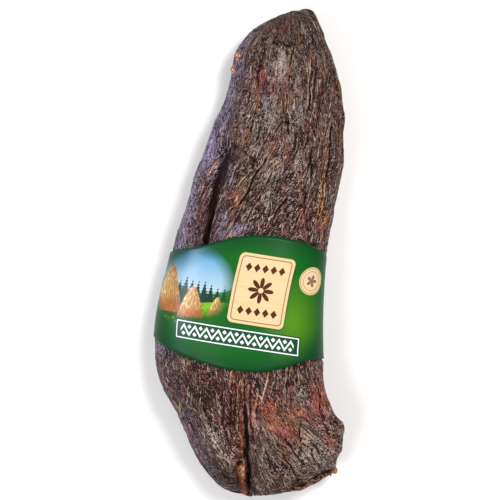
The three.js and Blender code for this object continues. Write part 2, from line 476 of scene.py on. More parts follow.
# Cracks and creases seen from above: the path in mm, the half width and the depth of the groove, and the
# tone of the fat on its edge, where 0 is none, 0.5 straw and 1 gold
cracks = [
    ([(-28, 77), (-32, 64), (-36, 50), (-38.3, 32), (-39.8, 14), (-41, 2), (-42, -8)], 2.4, 1.7, 0),
    ([(-38, 42), (-39, 26), (-40.3, 10), (-41.5, -6)], 1.2, 1.8, 0),
    ([(-30, 77), (-25, 76), (-18, 72.5), (-6, 63)], 0.8, 0.8, 0),
    ([(-33, 74), (-28, 66), (-22, 60)], 0.9, 0.9, 0),
    ([(-9, 116), (-11.4, 107.6), (-12.9, 100), (-13.3, 96), (-15.1, 87), (-21, 74)], 0.7, 0.9, 0.9),
    ([(-0.1, 73.5), (-5, 63), (-10.1, 53), (-13.5, 41), (-20, 30)], 1.0, 1.8, 0.6),
    ([(5, 65), (0.5, 49), (-5, 37), (-10, 30), (-15, 13)], 0.8, 1.1, 0.85),
    ([(18, 44), (9.5, 31), (8, 24)], 0.9, 1.3, 0),
    ([(12.2, 101), (12.2, 95), (13.8, 86)], 1.1, 1.8, 0),
    ([(7.1, 98), (5, 91), (3, 87)], 0.8, 1.1, 0),
    ([(6.8, 114), (8.4, 101)], 0.8, 1.1, 0.5),
    ([(3, 112), (3.3, 106)], 0.7, 0.9, 0),
    ([(18.5, 90), (19.8, 73.5)], 0.8, 1.1, 0),
    ([(23.3, 101), (27, 98), (31.5, 94.6), (32.3, 86)], 0.7, 0.8, 0),
    ([(45, 103), (44.5, 88), (45.5, 73), (44, 61)], 1.0, 1.8, 0),
    ([(42.5, 58), (42.5, 43), (40, 28)], 0.8, 1.0, 0.9),
    ([(31, 80), (32, 70), (33, 56), (33.5, 49)], 1.0, 1.5, 0),
    ([(30, 49), (30, 27)], 0.8, 0.9, 0),
    ([(26.3, 148), (27.3, 122), (26, 101)], 0.7, 0.9, 0),
    ([(30.2, 141), (30, 112)], 0.7, 0.8, 0),
    ([(-4, 157), (-1, 154.5), (1, 154)], 1.2, 1.6, 0),
    ([(3, 156.5), (6, 154), (10, 155)], 1.1, 1.5, 0),
    ([(-1, 150), (0, 147)], 1.0, 1.2, 0),
    ([(-12, 156), (-8, 159.5)], 1.1, 1.3, 0),
    ([(-9, 156), (-11, 141), (-13.5, 129), (-10, 117)], 0.7, 0.9, 0),
    ([(-41, 50), (-44, 44)], 0.8, 1.2, 0),
    ([(-4, -90), (-2.5, -108), (-1.5, -122), (-0.5, -134)], 0.9, 1.1, 0.5),
    ([(-1, -112), (-0.2, -127), (1.5, -142), (3, -155), (5.6, -164), (6, -172), (6.5, -184)], 1.6, 2.8, 0),
    ([(1, -94), (2, -112), (4, -130), (8, -146)], 0.8, 0.9, 0),
    ([(-6.5, -94), (-6, -112), (-5, -128), (-5.5, -143)], 0.7, 0.8, 0.5),
    ([(-12.5, -100), (-12, -118), (-10, -136)], 0.7, 0.7, 0),
    ([(-19, -103), (-18, -122), (-14.5, -137), (-9, -147)], 0.9, 1.2, 0),
    ([(-9, -98), (-9, -125), (-6, -140)], 0.7, 0.7, 0),
    ([(7.6, -96), (7.6, -112), (7, -128)], 0.7, 0.8, 0),
    ([(-4.2, -157), (-3, -166), (-0.6, -176)], 0.8, 1.0, 0),
    ([(41, -122), (40, -130), (42.8, -139)], 0.9, 1.3, 0),
    ([(71, -155), (58, -164), (51, -167.5), (44, -172), (36, -176), (29, -182)], 1.3, 2.4, 0.7),
    ([(66, -163), (55, -169.5), (46, -174)], 0.8, 1.2, 1),
    ([(28, -84), (27, -100), (30, -112)], 0.8, 0.8, 0.6),
    ([(51, -96), (55, -116), (64, -136)], 0.9, 1.1, 0),
    ([(15, -143), (18, -152), (26, -161)], 0.9, 1.1, 0),
    ([(22, -138), (31, -152), (39, -160)], 0.9, 1.1, 0.5),
    ([(29, -134), (38, -147), (47, -155)], 0.9, 1.1, 0),
    ([(-2.0, -153.5), (-1.1, -157), (-0.6, -160)], 2.0, 4.2, 0),
]
smallCracks = {"onBody": 170, "onLobe": 45, "shortest": 4, "longest": 17, "seed": 11}
# Pale fibres and threads of fat: the path, the half width and the tone, where 0 is ash, 0.5 straw, 1 gold
strokes = [
    ([(24.7, 148), (25.7, 122), (24.5, 103)], 0.42, 0.15),
    ([(28.4, 140), (28.3, 123), (28.6, 110)], 0.38, 0.1), ([(31.1, 109.5), (29.5, 103.5)], 0.35, 0.3),
    ([(-9.1, 115), (-11.2, 107), (-12.4, 101)], 0.5, 0.95),
    ([(-21, 75), (-17, 83), (-14.5, 89)], 0.35, 0.8), ([(-23, 63), (-25.4, 51), (-27.4, 44)], 0.5, 0.0),
    ([(-13.5, 39), (-19.7, 24), (-26.8, 9)], 0.4, 0.2), ([(-12, 23), (-15.5, 13)], 0.4, 0.0),
    ([(4.3, 71), (3.6, 59), (0, 49)], 0.45, 0.8), ([(14, 153), (12, 145)], 0.4, 0.5),
    ([(44, 58), (44, 45), (42, 31)], 0.45, 0.9), ([(47, 30), (46, 23)], 0.5, 1.0),
    ([(-46, 44), (-48.5, 36)], 0.4, 0.8), ([(-46, 26), (-47.5, 14)], 0.4, 0.6),
    ([(-35, 30), (-37.5, 18)], 0.35, 0.4), ([(-38.8, -92), (-40.3, -97)], 0.4, 0.4),
    ([(-44.5, -103), (-44.4, -112), (-44.3, -119)], 0.45, 0.35),
    ([(-17.3, -104), (-18.6, -113), (-18, -123)], 0.4, 0.15),
    ([(-1.6, -90), (-2.8, -99), (-4.6, -108)], 0.38, 0.4),
    ([(7.3, -102), (6.8, -111), (5.7, -119)], 0.6, 0.8), ([(27.5, -85), (27, -97)], 0.4, 0.5),
    ([(19, -86), (17.5, -98), (15.5, -106)], 0.35, 0.4), ([(-24, -91), (-23.5, -99)], 0.35, 0.3),
    ([(29, -112), (33, -120), (31, -124)], 0.4, 0.8), ([(36, -104), (40, -112)], 0.4, 0.7),
    ([(60.5, -131.5), (65, -135.5), (69.5, -139)], 0.6, 0.3),
    ([(-9, -92), (-8.4, -104), (-7.6, -114)], 0.3, 0.3),
]
smallStrokes = {"onBody": 210, "onLobe": 170, "shortest": 4, "longest": 20, "seed": 12}
# Smooth sinews in the slit: the path, the half width at its two ends, how far it rises, and how strongly it
# shows at its two ends
sinews = [
    ([(-3.7, -124), (-2.5, -138), (-1.0, -153)], 0.9, 1.5, 0.6, 0.4, 0.65),
    ([(-0.3, -158.6), (0.4, -164), (2.2, -174.7), (3.7, -181.5), (4.4, -185.5)], 4.1, 2.3, 0.9, 1.1, 0.6),
]
slitHole = (-1.1, -157, 2.2, 3.9, 4, 1.0)  # the hole between the sinews, written as a patch is
# Where the short paths may lie, across and along in mm, how far they stray in radians and bow in mm
strewn = {"body": ((-150, 150), (-178, 178)), "lobe": ((14, 92), (36, 106)), "stray": 0.12, "bow": 0.8}
# The share of a crack's half width that is painted dark as shade, where it is deep and where it is shallow
crackShadeShare = {"deepFrom": 1.4, "deep": 0.6, "shallow": 0.46}


# Cuts the corners of a path twice
def rounded(path):
    path = np.array(path, float)
    for _ in range(2):
        early = 0.75 * path[:-1] + 0.25 * path[1:]
        late = 0.25 * path[:-1] + 0.75 * path[1:]
        path = np.concatenate([path[:1], np.stack([early, late], 1).reshape(-1, 2)[1:-1], path[-1:]])
    return path


# Distance of points to a path, negative on one side of it, and how far along it each one is, from 0 to 1
def alongPath(path, u, v):
    path = rounded(path)
    legs = np.linalg.norm(np.diff(path, axis=0), axis=1)
    nearest, share, passed = np.full(len(u), 1e9), np.zeros(len(u)), 0.0
    for start, end, leg in zip(path, path[1:], legs):
        du, dv = (end - start) / leg
        s = np.clip((u - start[0]) * du + (v - start[1]) * dv, 0, leg)
        distance = np.hypot(u - start[0] - s * du, v - start[1] - s * dv)
        side = np.where((u - start[0]) * dv > (v - start[1]) * du, distance, -distance)
        closer = distance < abs(nearest)
        nearest = np.where(closer, side, nearest)
        share = np.where(closer, (passed + s) / legs.sum(), share)
        passed += leg
    return nearest, share


# Where paths are drawn: two coordinates of each vertex, and how far the path shows there
ragged = 0.5 * grainNoise(2.5, 3.5, 21) + 0.8 * lumpNoise(9, 22)
arcPlaces = np.arctan2(bodyPlaces[:, 0], bodyPlaces[:, 1]) * roundRadius
spaces = {
    "plan": (skinX + ragged, skinY, upper),
    "body": (arcPlaces + ragged, bodyPlaces[:, 2], 1 - lobe),
    "lobe": (lobePlaces[:, 0] + ragged, lobePlaces[:, 2], lobe),
}


# A path with the vertices near it, their distances to it and its taper at each one
def nearPath(space, path, reach):
    u, v, shown = spaces[space]
    low, high = np.min(path, axis=0) - reach, np.max(path, axis=0) + reach
    near = np.flatnonzero((u > low[0]) & (u < high[0]) & (v > low[1]) & (v < high[1]))
    distance, share = alongPath(path, u[near], v[near])
    taper = np.clip(np.sin(math.pi * np.clip(share, 0.02, 0.98)) * 2.2, 0, 1)
    return near, distance, taper * shown[near] * (share > 0) * (share < 1)


def groove(space, path, width, depth, tone):
    depths = np.zeros(len(skinX))
    near, distance, taper = nearPath(space, path, 4 * width)
    reach = width * (0.35 + 0.65 * taper)
    distance = abs(distance)
    wall = np.exp(-((distance / reach) ** 2)) - 0.25 * np.exp(-(((distance - 2.1 * reach) / reach) ** 2))
    depths[near] = depth * taper * wall
    return depths


def spot(x, y, wide, long, turn, strength):
    c, s = math.cos(math.radians(turn)), math.sin(math.radians(turn))
    across = ((skinX - x) * c + (skinY - y) * s) / wide
    along = ((skinY - y) * c - (skinX - x) * s) / long
    return upper * strength * np.exp(-(across**2 + along**2))


def spots(places):
    return np.max([spot(*place) for place in places], axis=0)


# How strongly a sinew shows, from 0 at its edge, and how far it lifts the skin
def laySinews():
    u, v, shown = spaces["plan"]
    inside, lift = np.zeros(len(skinX)), np.zeros(len(skinX))
    solid = 1 - smoothStep(spot(*slitHole), 0.35, 0.6)
    for path, first, last, rise, strong, strongLast in sinews:
        distance, share = alongPath(path, u - 0.5 * ragged, v)
        here = np.clip(1 - abs(distance) / (first + (last - first) * share), 0, 1) * shown
        here *= smoothStep(share, 0, 0.06) * smoothStep(share, 1, 0.9) * solid
        inside = np.maximum(inside, (strong + (strongLast - strong) * share) * here)
        lift = np.maximum(lift, rise * smoothStep(here, 0, 0.8))
    return inside, lift


# Short paths strewn along the fibres of the body and of the lobe
def strewnPaths(plan):
    dice = np.random.default_rng(plan["seed"])
    for count in range(plan["onBody"] + plan["onLobe"]):
        half = 0.5 * dice.uniform(plan["shortest"], plan["longest"])
        space = "body" if count < plan["onBody"] else "lobe"
        x, y = (dice.uniform(*span) for span in strewn["body"])
        if space == "lobe":
            x, y = (dice.uniform(*span) for span in strewn["lobe"])
        lean, bow = half * math.sin(dice.normal(0, strewn["stray"])), dice.normal(0, strewn["bow"])
        yield dice, space, [(x - lean, y - half), (x + bow, y), (x + lean, y + half)]


# Lines finer than the grid: each vertex holds its distance to the nearest path, negative on one side of it,
# with that path's half width and tone. The finish draws a line where the distance passes zero.
def drawnLines(lines):
    side, reach, tone = np.full(len(skinX), 3.0), np.zeros(len(skinX)), np.zeros(len(skinX))
    for space, path, width, shade in lines:
        near, distance, taper = nearPath(space, path, 2.6)
        closer = (abs(distance) < abs(side[near])) & (taper > 0)
        at = near[closer]
        side[at], reach[at], tone[at] = distance[closer], width * taper[closer], shade
    return side, np.where(abs(side) < 2.5, reach, 0), tone


allCracks = [("plan", *crack) for crack in cracks]
for dice, space, path in strewnPaths(smallCracks):
    width, depth = dice.uniform(0.6, 0.9), dice.uniform(0.5, 1.3)
    allCracks.append((space, path, width, depth, dice.choice([0, 0, 0, 0.5, 1])))
allStrokes = [("plan", *stroke) for stroke in strokes]
for dice, space, path in strewnPaths(smallStrokes):
    allStrokes.append((space, path, dice.uniform(0.18, 0.36), dice.beta(0.7, 3.0)))
crackDepth = sum(groove(*crack) for crack in allCracks)
crackShadeLines = []
for space, path, width, depth, tone in allCracks:
    share = crackShadeShare["deep" if depth > crackShadeShare["deepFrom"] else "shallow"]
    crackShadeLines.append((space, path, share * width, tone))
crackSide, crackReach, crackTone = drawnLines(crackShadeLines)
strokeSide, strokeReach, strokeTone = drawnLines(allStrokes)
sinew, sinewLift = laySinews()
print("paths drawn:", len(allCracks), "cracks and", len(allStrokes), "strokes")


relief = {  # mm: spacing across and along the fibres, and height
    "folds": (11, 70, 0.5),
    "bands": (2.3, 90, 0.42),
    "bundles": (4.5, 38, 0.32),
    "strands": (1.9, 24, 0.20),
    "crumbs": (1.7, 2.4, 0.13),
    "lumps": (15, 15, 0.5),
    "knobs": (4.4, 6, 0.14),
}
bulges = [  # place, half width and height of swellings and dents at the edge
    (69, -159, 5, 2.2), (74, -151, 6, -1.6), (72, -124, 6, 3.0), (75, -137, 6, -0.8), (46, -174, 8, 1.0),
    (-35, 130, 9, -2.2), (-38, 111, 13, -2.2), (-57, 36, 26, -1.9), (-51, -128, 9, -1.6),
    (-28, -167, 16, -1.6), (55, 88, 13, -1.2), (52, 20, 8, -1.2),
]
# Zones seen from above: where the fibres lie in long straight bands, and where loose hairs cross them
zones = {
    "banded": [
        (-9, -112, 14, 34, 0, 1.0), (-2, -140, 10, 22, 0, 1.0), (-47, 60, 10, 60, 0, 0.8),
        (-30, 118, 8, 30, 5, 0.8), (26, 128, 6, 26, 0, 0.9), (44, 82, 8, 34, 0, 0.6),
        (58, -110, 8, 26, 12, 0.8), (-55, -110, 8, 34, 18, 0.7), (4, 141, 8, 16, 0, 0.7),
        (-36, -165, 14, 16, 30, 0.6),
    ],
    "hairy": [
        (-38, -112, 15, 16, 0, 1.0), (-4, 28, 26, 14, 0, 1.0), (8, 62, 12, 8, 0, 0.8),
        (24, -104, 10, 10, 0, 0.7), (34, -140, 22, 14, 0, 0.2), (-20, 30, 10, 12, 0, 0.6),
        (30, 20, 18, 8, 0, 0.7), (-22, 6, 14, 6, 0, 0.6), (16, -162, 18, 8, 0, 0.2),
        (-48, -92, 12, 8, 0, 0.6),
    ],
}


# Rounded bundles with sharp furrows between them, on a mean level of zero
def bundles(name, seed):
    across, along, height = relief[name]
    domes = abs(grainNoise(across, along, seed)) ** 0.8
    return height * (domes - domes.mean()) * 2


def raiseRelief(depths):
    wild = (0.8 + 0.9 * lumpNoise(38, 3)) * (1 - 0.6 * banded)
    raised = bundles("folds", 1) + wild * (bundles("bundles", 2) + bundles("strands", 4))
    raised += banded * bundles("bands", 9)
    for seed, name in enumerate(("crumbs", "lumps", "knobs"), 5):
        across, along, height = relief[name]
        raised += height * 2 * grainNoise(across, along, seed)
    raised += 0.7 * strokeReach * np.exp(-((strokeSide / 0.6) ** 2))
    raised = raised * (1 - 0.8 * smoothStep(sinew, 0, 0.4)) + sinewLift - depths
    for x, y, wide, rise in bulges:
        raised += rise * np.exp(-((skinX - x) ** 2 + (skinY - y) ** 2) / wide**2) * smoothStep(skinZ, 6, 20)
    raised = np.where(skinNormals[:, 2] < -0.6, 0.35 * raised, raised)
    return raised * (1 - covered) + np.minimum(raised, 0) * covered - 0.25 * covered


banded, hairy = spots(zones["banded"]), spots(zones["hairy"])
height = raiseRelief(crackDepth)
# Painted shade: the skin is drawn near black below its blurred relief, in deep cracks and in the slit hole
hollow = np.clip((blurred(height, 2, 3) - height) / 0.5, 0, 1) * 0.7
hollow = np.maximum(hollow, 0.85 * np.clip(crackDepth / 1.7, 0, 1))
hollow = np.maximum(hollow, smoothStep(spot(*slitHole), 0.35, 0.55))
# Painted light and shade: crests above their blurred surroundings are drawn lighter and small dips darker
ridge = np.clip((height - blurred(height, 1, 1)) / 0.22, -1, 1)
raisedPlaces = skinPlaces + skinNormals * height[:, None]
raisedPlaces[:, 2] = np.maximum(raisedPlaces[:, 2], np.where(covered > 0.5, 0.9, 0.0))
print("relief raised:", round(height.min(), 2), "to", round(height.max(), 2), "mm")


# Patches of colour on the upper side: middle, half length across and along, turn in degrees and strength
patches = {
    "bloom": [
        (4, 141, 8, 15, 0, 1.0), (17, 100, 6, 11, 0, 0.9), (-1, 99, 6, 12, 0, 0.9),
        (-14, 92, 7, 12, 0, 0.6), (1, 55, 8, 14, 15, 0.5), (25, 58, 7, 9, 0, 0.5),
        (24, 34, 3, 10, -15, 0.6), (38, 92, 7, 20, 0, 0.3), (-11, 159, 5, 4, 0, 0.6),
        (20, 166, 5, 8, 0, 0.4), (4, 40, 6, 8, 0, 0.5), (-21, -139, 8, 8, 20, 0.9),
        (-13, -154, 6, 9, 25, 0.6), (47, -136, 9, 6, 0, 0.7), (52, -150, 14, 7, 15, 1.0),
        (34, -160, 8, 5, 30, 0.4), (40, -102, 6, 8, 0, 0.5), (20, -152, 5, 7, 35, 0.4),
    ],
    "redness": [
        (22, -167, 20, 9, 20, 0.25), (-60, -98, 9, 26, 10, 0.3), (2, 118, 12, 20, 0, 0.15),
        (-22, 39, 4, 14, 8, 0.65), (-9, 127, 3.5, 8, 0, 0.9), (1, 166, 6, 6, 0, 0.6),
        (-45, 35, 3, 14, 5, 0.5), (8, 122, 4, 14, 0, 0.5), (27, 30, 5, 16, 0, 0.6),
        (44, 26, 5, 10, 0, 0.8), (3, 84, 4, 6, 0, 0.5), (51, 100, 3, 26, 0, 0.5),
        (-40, 20, 3, 12, 0, 0.4), (33, 96, 3, 12, 0, 0.3), (-47, 28, 2.5, 14, 5, 0.6),
        (-44, -95, 8, 6, 0, 0.4), (1.5, -170, 5, 12, 10, 0.7), (50, -171, 20, 3.5, 31, 0.5),
        (16, -117, 12, 11, 0, 1.0), (28, -128, 16, 8, -25, 1.0), (53, -106, 8, 18, 5, 1.0),
        (-11, -120, 3.5, 16, 0, 0.9), (-5, -114, 12, 28, 0, 0.75), (30, 94, 3, 7, 20, 0.6),
        (-17, -112, 3, 14, 0, 0.5), (64, -136, 7, 3.5, -35, 1.0), (38, -116, 9, 5, -20, 0.8),
        (31, -100, 3, 12, 0, 0.5), (6, -118, 3, 14, 0, 0.5),
    ],
    "amber": [
        (42, 48, 1.3, 14, 0, 0.5), (46, 26, 3, 4, 0, 0.7), (3.4, 76, 1.2, 1.6, 0, 0.8),
        (46, -172, 14, 1.6, 31, 0.6), (8, 108, 2, 5, 0, 0.4), (-46, 42, 1.1, 8, 10, 0.4),
        (18, -128, 3, 2.5, 0, 0.8), (39, -116, 3, 2, -20, 0.7), (26, -121, 14, 7, -25, 0.2),
        (-50, -121, 1.4, 4, 0, 0.8), (12, 150, 1.5, 7, 0, 0.3), (24, -124, 5, 1.6, -30, 0.5),
        (-1, 47, 2.4, 1.6, 0, 0.5),
    ],
    # painted cool sheen, in spots mostly on the left flank
    "violetSheen": [
        (-36, 108, 8, 34, -12, 0.75), (-48, 62, 5, 12, -15, 1.0), (-31, 17, 4, 11, 5, 0.6),
        (-17, 14, 6, 5, 0, 0.6), (-25, 48, 2, 10, 10, 0.5), (-6, 111, 4, 9, 0, 0.35),
        (-56, 30, 6, 30, 0, 0.9),
    ],
}
# The violet is mostly a painted cool sheen round the left flank, with some of the meat's own purple
violetSheen = {
    "from": 38,  # mm round to the left from the top, where the sheen begins and where it is full
    "to": 64,
    "patchy": 0.96,
}
# Lighter and darker areas, mostly painted light on the lobes and crown and shade in the left fold and
# cracks
shades = [
    (20, -123, 20, 15, 0, 0.23), (53, -112, 12, 24, 0, 0.15), (50, -148, 18, 14, 0, 0.10),
    (24, -152, 12, 12, 0, -0.03), (-30, 110, 12, 26, 0, 0.04), (2, 120, 18, 34, 0, 0.08),
    (-48, 44, 8, 26, 0, -0.05), (-22, -145, 10, 12, 0, 0.02), (-40, -110, 18, 20, 0, -0.13),
    (-29, -107, 12, 14, 0, -0.08), (-36, -109, 8, 11, 0, -0.10), (-50, -128, 9, 24, 20, -0.05),
    (-62, -90, 12, 22, 0, -0.10), (24, -172, 28, 11, 0, -0.14), (0, 22, 26, 10, 0, -0.11),
    (-38, 18, 6, 30, 0, -0.07), (-14, -100, 26, 12, 0, -0.05), (3, 157, 14, 6, 0, -0.15),
    (-20, 162, 10, 10, 0, -0.04), (-29, 74, 6, 6, 0, -0.12), (-35, 52, 4, 20, 8, -0.08),
    (-39, 20, 4, 24, 3, -0.10), (1.5, -170, 6, 12, 10, -0.05), (52, -168, 20, 3, 31, -0.12),
    (-44, -150, 8, 24, 30, -0.05), (-49, 62, 4, 10, -15, 0.05), (20, -172, 26, 8, 0, -0.05),
    (-22, -174, 28, 9, -20, -0.14), (-31, 110, 4, 30, -12, -0.06), (-28, 73, 5, 8, 0, -0.20),
    (-30, 65, 6, 10, 0, -0.16), (4, 140, 9, 16, 0, 0.05), (8, 98, 20, 14, 0, 0.05),
    (-46, 78, 8, 24, -8, 0.06), (-33, 54, 4, 10, 5, -0.12), (-52, 10, 8, 40, 5, -0.05),
    (2, 88, 22, 34, 0, 0.03), (50, -160, 16, 10, 30, -0.035), (-58, -112, 8, 26, 10, -0.03),
    (36, -126, 22, 16, 0, 0.025),
]


def patchAmount(name, seed):
    # Painted sheen: round the left flank, fading below its widest part and towards the blunt end, broken in
    # patches
    if name == "violetSheen":
        side = smoothStep(-skinGrain[:, 0], violetSheen["from"], violetSheen["to"]) * smoothStep(skinZ, 16, 40)
        side *= (1 - 0.75 * smoothStep(skinY, -70, -85)) * (1 - 0.3 * smoothStep(skinY, -155, -168))
        side = np.maximum(side, spots(patches[name]))
        return side * np.clip(1 + violetSheen["patchy"] * lumpNoise(16, 31), 0, 1)
    faint = np.clip(1.6 * grainNoise(7, 24, seed) - 0.25, 0, 0.6)
    faint *= 0.25 * (1 - 0.5 * upper) if name == "amber" else 0.8 - 0.3 * upper
    return np.clip(spots(patches[name]) + faint, 0, 1)


def writeValues(mesh, **attributes):
    for name, values in attributes.items():
        kind, field = ("FLOAT_VECTOR", "vector") if np.ndim(values) == 2 else ("FLOAT", "value")
        layer = mesh.attributes.new(name, kind, "POINT")
        layer.data.foreach_set(field, np.asarray(values, np.float32).ravel())


def meshOf(name, places, faces, edges=()):
    mesh = bpy.data.meshes.new(name)
    mesh.from_pydata((np.asarray(places) * mm).tolist(), edges, faces)
    return mesh


def makeMeatSkin():
    mesh = meshOf("meatSkin", raisedPlaces, skinFaces)
    mesh.shade_smooth()
    writeValues(mesh, grain=bodyPlaces, lobeGrain=lobePlaces, flow=flow, lobe=lobe)
    writeValues(mesh, skin=np.ones(len(skinX)), hollow=hollow, ridge=ridge, sinew=sinew)
    writeValues(mesh, banded=banded, hairy=hairy)
    writeValues(mesh, crack=crackSide, crackReach=crackReach, crackTone=crackTone)
    writeValues(mesh, stroke=strokeSide, strokeReach=strokeReach, strokeTone=strokeTone)
    bare = smoothStep(sleeveGap, 1.5, 3.5) * smoothStep(skinZ, 2, 8)
    bare *= smoothStep(crackDepth + 3 * sinew, 0.9, 0.2)
    writeValues(mesh, bare=bare, shade=np.sum([spot(*place) for place in shades], axis=0))
    writeValues(mesh, **{name: patchAmount(name, seed) for seed, name in enumerate(patches, 41)})
    return addObject("meatSkin", mesh)


# Finish of the meat. Colours are linear.
beef = {
    "black": (0.0125, 0.0026, 0.0014),
    "dark": (0.032, 0.0090, 0.0058),
    "brown": (0.078, 0.035, 0.029),
    "tan": (0.166, 0.098, 0.080),
    "pale": (0.47, 0.37, 0.315),
    "bloom": (0.290, 0.260, 0.228),
    "redness": (0.265, 0.052, 0.041),
    "amber": (0.56, 0.24, 0.055),
    # painted cool sheen of the left flank
    "violetSheen": (0.230, 0.187, 0.335),
    "rust": (0.175, 0.055, 0.030),
    "plum": (0.135, 0.042, 0.062),
    "olive": (0.170, 0.125, 0.070),
    "ash": (0.48, 0.41, 0.37),
    "straw": (0.56, 0.38, 0.21),
    "gold": (0.58, 0.23, 0.05),
    "salmon": (0.42, 0.14, 0.10),
    # painted bluish-white glint of the violet sheen
    "frost": (0.52, 0.54, 0.74),
    "spark": (0.62, 0.53, 0.46),
    "sinew": (0.33, 0.140, 0.055),
    # painted highlight of the sinew
    "shine": (0.80, 0.58, 0.36),
    "rim": (0.105, 0.022, 0.011),
}
patchStrength = {"bloom": 0.8, "violetSheen": 0.8, "redness": 0.8, "amber": 0.95}
beefSurface = {
    "tone": 0.432,  # how light the whole is
    "shreds": 0.24,  # how much the shreds differ in tone
    "roughDark": 0.55,
    "roughPale": 0.28,
    "roughSinew": 0.26,
    "relief": 0.9,  # mm that a full step in tone is raised
    "specular": 0.16,
}
# Noise in the fibre spaces: mm across and along the fibres, detail and seed. Where more follows, it is the
# span of the noise that counts and what this is brought to, 0 to 1 if nothing is said.
weave = {
    "mottle": (8, 18, 3, 3.1, 0.3, 0.7, -1.0, 1.0),
    "speck": (0.75, 2.0, 1, 5.3, 0.30, 0.70, -1.0, 1.0),
    "fine": (0.6, 0.7, 0, 11.3, 0.28, 0.72, -1.0, 1.0),
    "dashes": (0.8, 6.5, 1, 15.5),
    "pits": (0.9, 3.4, 0, 21.1, 0.38, 0.30),
    # painted glints: pale specks in the grain's tone
    "sparks": (0.75, 2.6, 0, 23.7, 0.64, 0.72),
    "plates": (5.5, 11, 3, 33.7),
    "creased": (11, 20, 1, 43.1, 0.50, 0.58),
    "uneven": (12, 22, 2, 4.4, 0.35, 0.65, 0.5, 1.5),
    "split": (9, 30, 2, 6.1, 0.42, 0.58),
    "long": (1.2, 60, 2, 8.8, 0.35, 0.65, -1.0, 1.0),
    "warmth": (3.2, 8, 2, 9.9),
    "yellow": (2.6, 6, 2, 13.1),
    "glint": (0.9, 2.6, 1, 17.7, 0.55, 0.63),
    # painted glints, laid on in their own pale colour
    "spark": (0.7, 3.4, 0, 27.9, 0.68, 0.76),
    "wander": (1.6, 5, 1, 12.2, 0.3, 0.7, -0.35, 0.35),
    "broken": (1.2, 4, 1, 14.4, 0.40, 0.52),
}
# Bundles of fibres and cracked dry skin: mm across and along, how wide the lines between are, and the seed
bundled = {"wide": (4.2, 40, 0.018, 1.3), "middle": (1.8, 15, 0.04, 2.2), "narrow": (0.8, 9, 0.06, 7.7)}
cracked = {"scales": (2.2, 5.5, 0.11, 1.7), "creases": (6.5, 15, 0.05, 41.9)}


# The two fibre spaces, squeezed so that one unit is so many mm across and along the fibres
def fibreSpaces(across, along, seed):
    size = (1 / across, 1 / across, 1 / along)
    for name in ("grain", "lobeGrain"):
        values = {"Vector": attribute(name, "Vector"), "Scale": size, "Location": (seed, seed, seed)}
        yield add("ShaderNodeMapping", values)


def fibreNoise(across, along, detail, seed):
    return mixed(attribute("lobe"), *[cloud(place, detail) for place in fibreSpaces(across, along, seed)])


# The noise that the table gives under a name
def woven(name):
    found = fibreNoise(*weave[name][:4])
    span = weave[name][4:]
    return between(found, *span) if span else found


# Thin lines between scales of dry skin: 0 on a line, 1 away from it
def fibreCrackle(across, along, width, seed):
    found = []
    for place in fibreSpaces(across, along, seed):
        bent = place + cloud(place, 2.0, 1.3)["Color"] * 0.9
        cells = add("ShaderNodeTexVoronoi", {"Vector": bent, "Scale": 1.0}, feature="DISTANCE_TO_EDGE")
        found.append(between(cells, 0.0, width))
    return mixed(attribute("lobe"), *found)


# Fibre bundles side by side: how far a place is from the furrow between two, and each bundle's own tone
def fibreBundles(across, along, furrow, seed):
    level = fibreNoise(across, along, 1.5, seed) - 0.5
    return between(abs(level), 0.0, furrow), between(level, -0.06, 0.06, -1.0, 1.0)


def ramp(value, stops):
    found = add("ShaderNodeValToRGB", {0: value})
    bar = found.socket.node.color_ramp
    while len(bar.elements) < len(stops):
        bar.elements.new(0.5)
    for element, (place, name) in zip(bar.elements, stops):
        element.position, element.color = place, opaque(beef[name])
    return found


# Keeps the middle calm and the extremes strong, from -1 to 1
def steep(value):
    return value * abs(value)


# How far a place is off a drawn line, the line's half width and where it is drawn, which isn't on shreds
def acrossLine(name, wander):
    reach = attribute(name + "Reach")
    return attribute(name) + wander, reach, between(reach, 0.03, 0.12) * attribute("skin")


def stripe(off, middle, half, present):
    return between(half - abs(off - middle), -0.06, 0.12) * present


# Draws pale strokes with a painted shadow line beside each, and cracks painted dark as shade, some with fat
# on an edge
def drawLines(colour):
    wander, broken = woven("wander"), woven("broken")
    off, reach, present = acrossLine("stroke", wander)
    paint = coated(
        ramp(attribute("strokeTone"), ((0.0, "ash"), (0.5, "straw"), (1.0, "gold"))),
        (attribute("redness") * 0.7, beef["salmon"]),
        # pale strokes in the violet sheen get painted cool glints
        (attribute("violetSheen") * 0.8, beef["frost"]),
    )
    # Painted shadow: a dark line beside each pale stroke
    strokeShadow = stripe(off, -0.3 - reach, 0.3, present)
    pale = stripe(off, 0.0, reach, present) * mixed(broken, 0.3, 1.0)
    colour = coated(colour, (strokeShadow * 0.8, beef["black"]), (pale * 0.9, paint))
    off, reach, present = acrossLine("crack", wander)
    tone = attribute("crackTone")
    fatty = stripe(off, reach + 0.38, 0.34, present * between(tone, 0.1, 0.4) * broken)
    # Painted shade: the gap of each crack drawn near black
    dark = stripe(off, 0.0, reach, present)
    paint = ramp(tone, ((0.5, "straw"), (1.0, "gold")))
    colour = coated(colour, (fatty * 0.9, paint), (dark * 0.95, beef["black"]))
    return colour, pale + fatty * 0.7 - dark * 1.2 - strokeShadow * 0.7


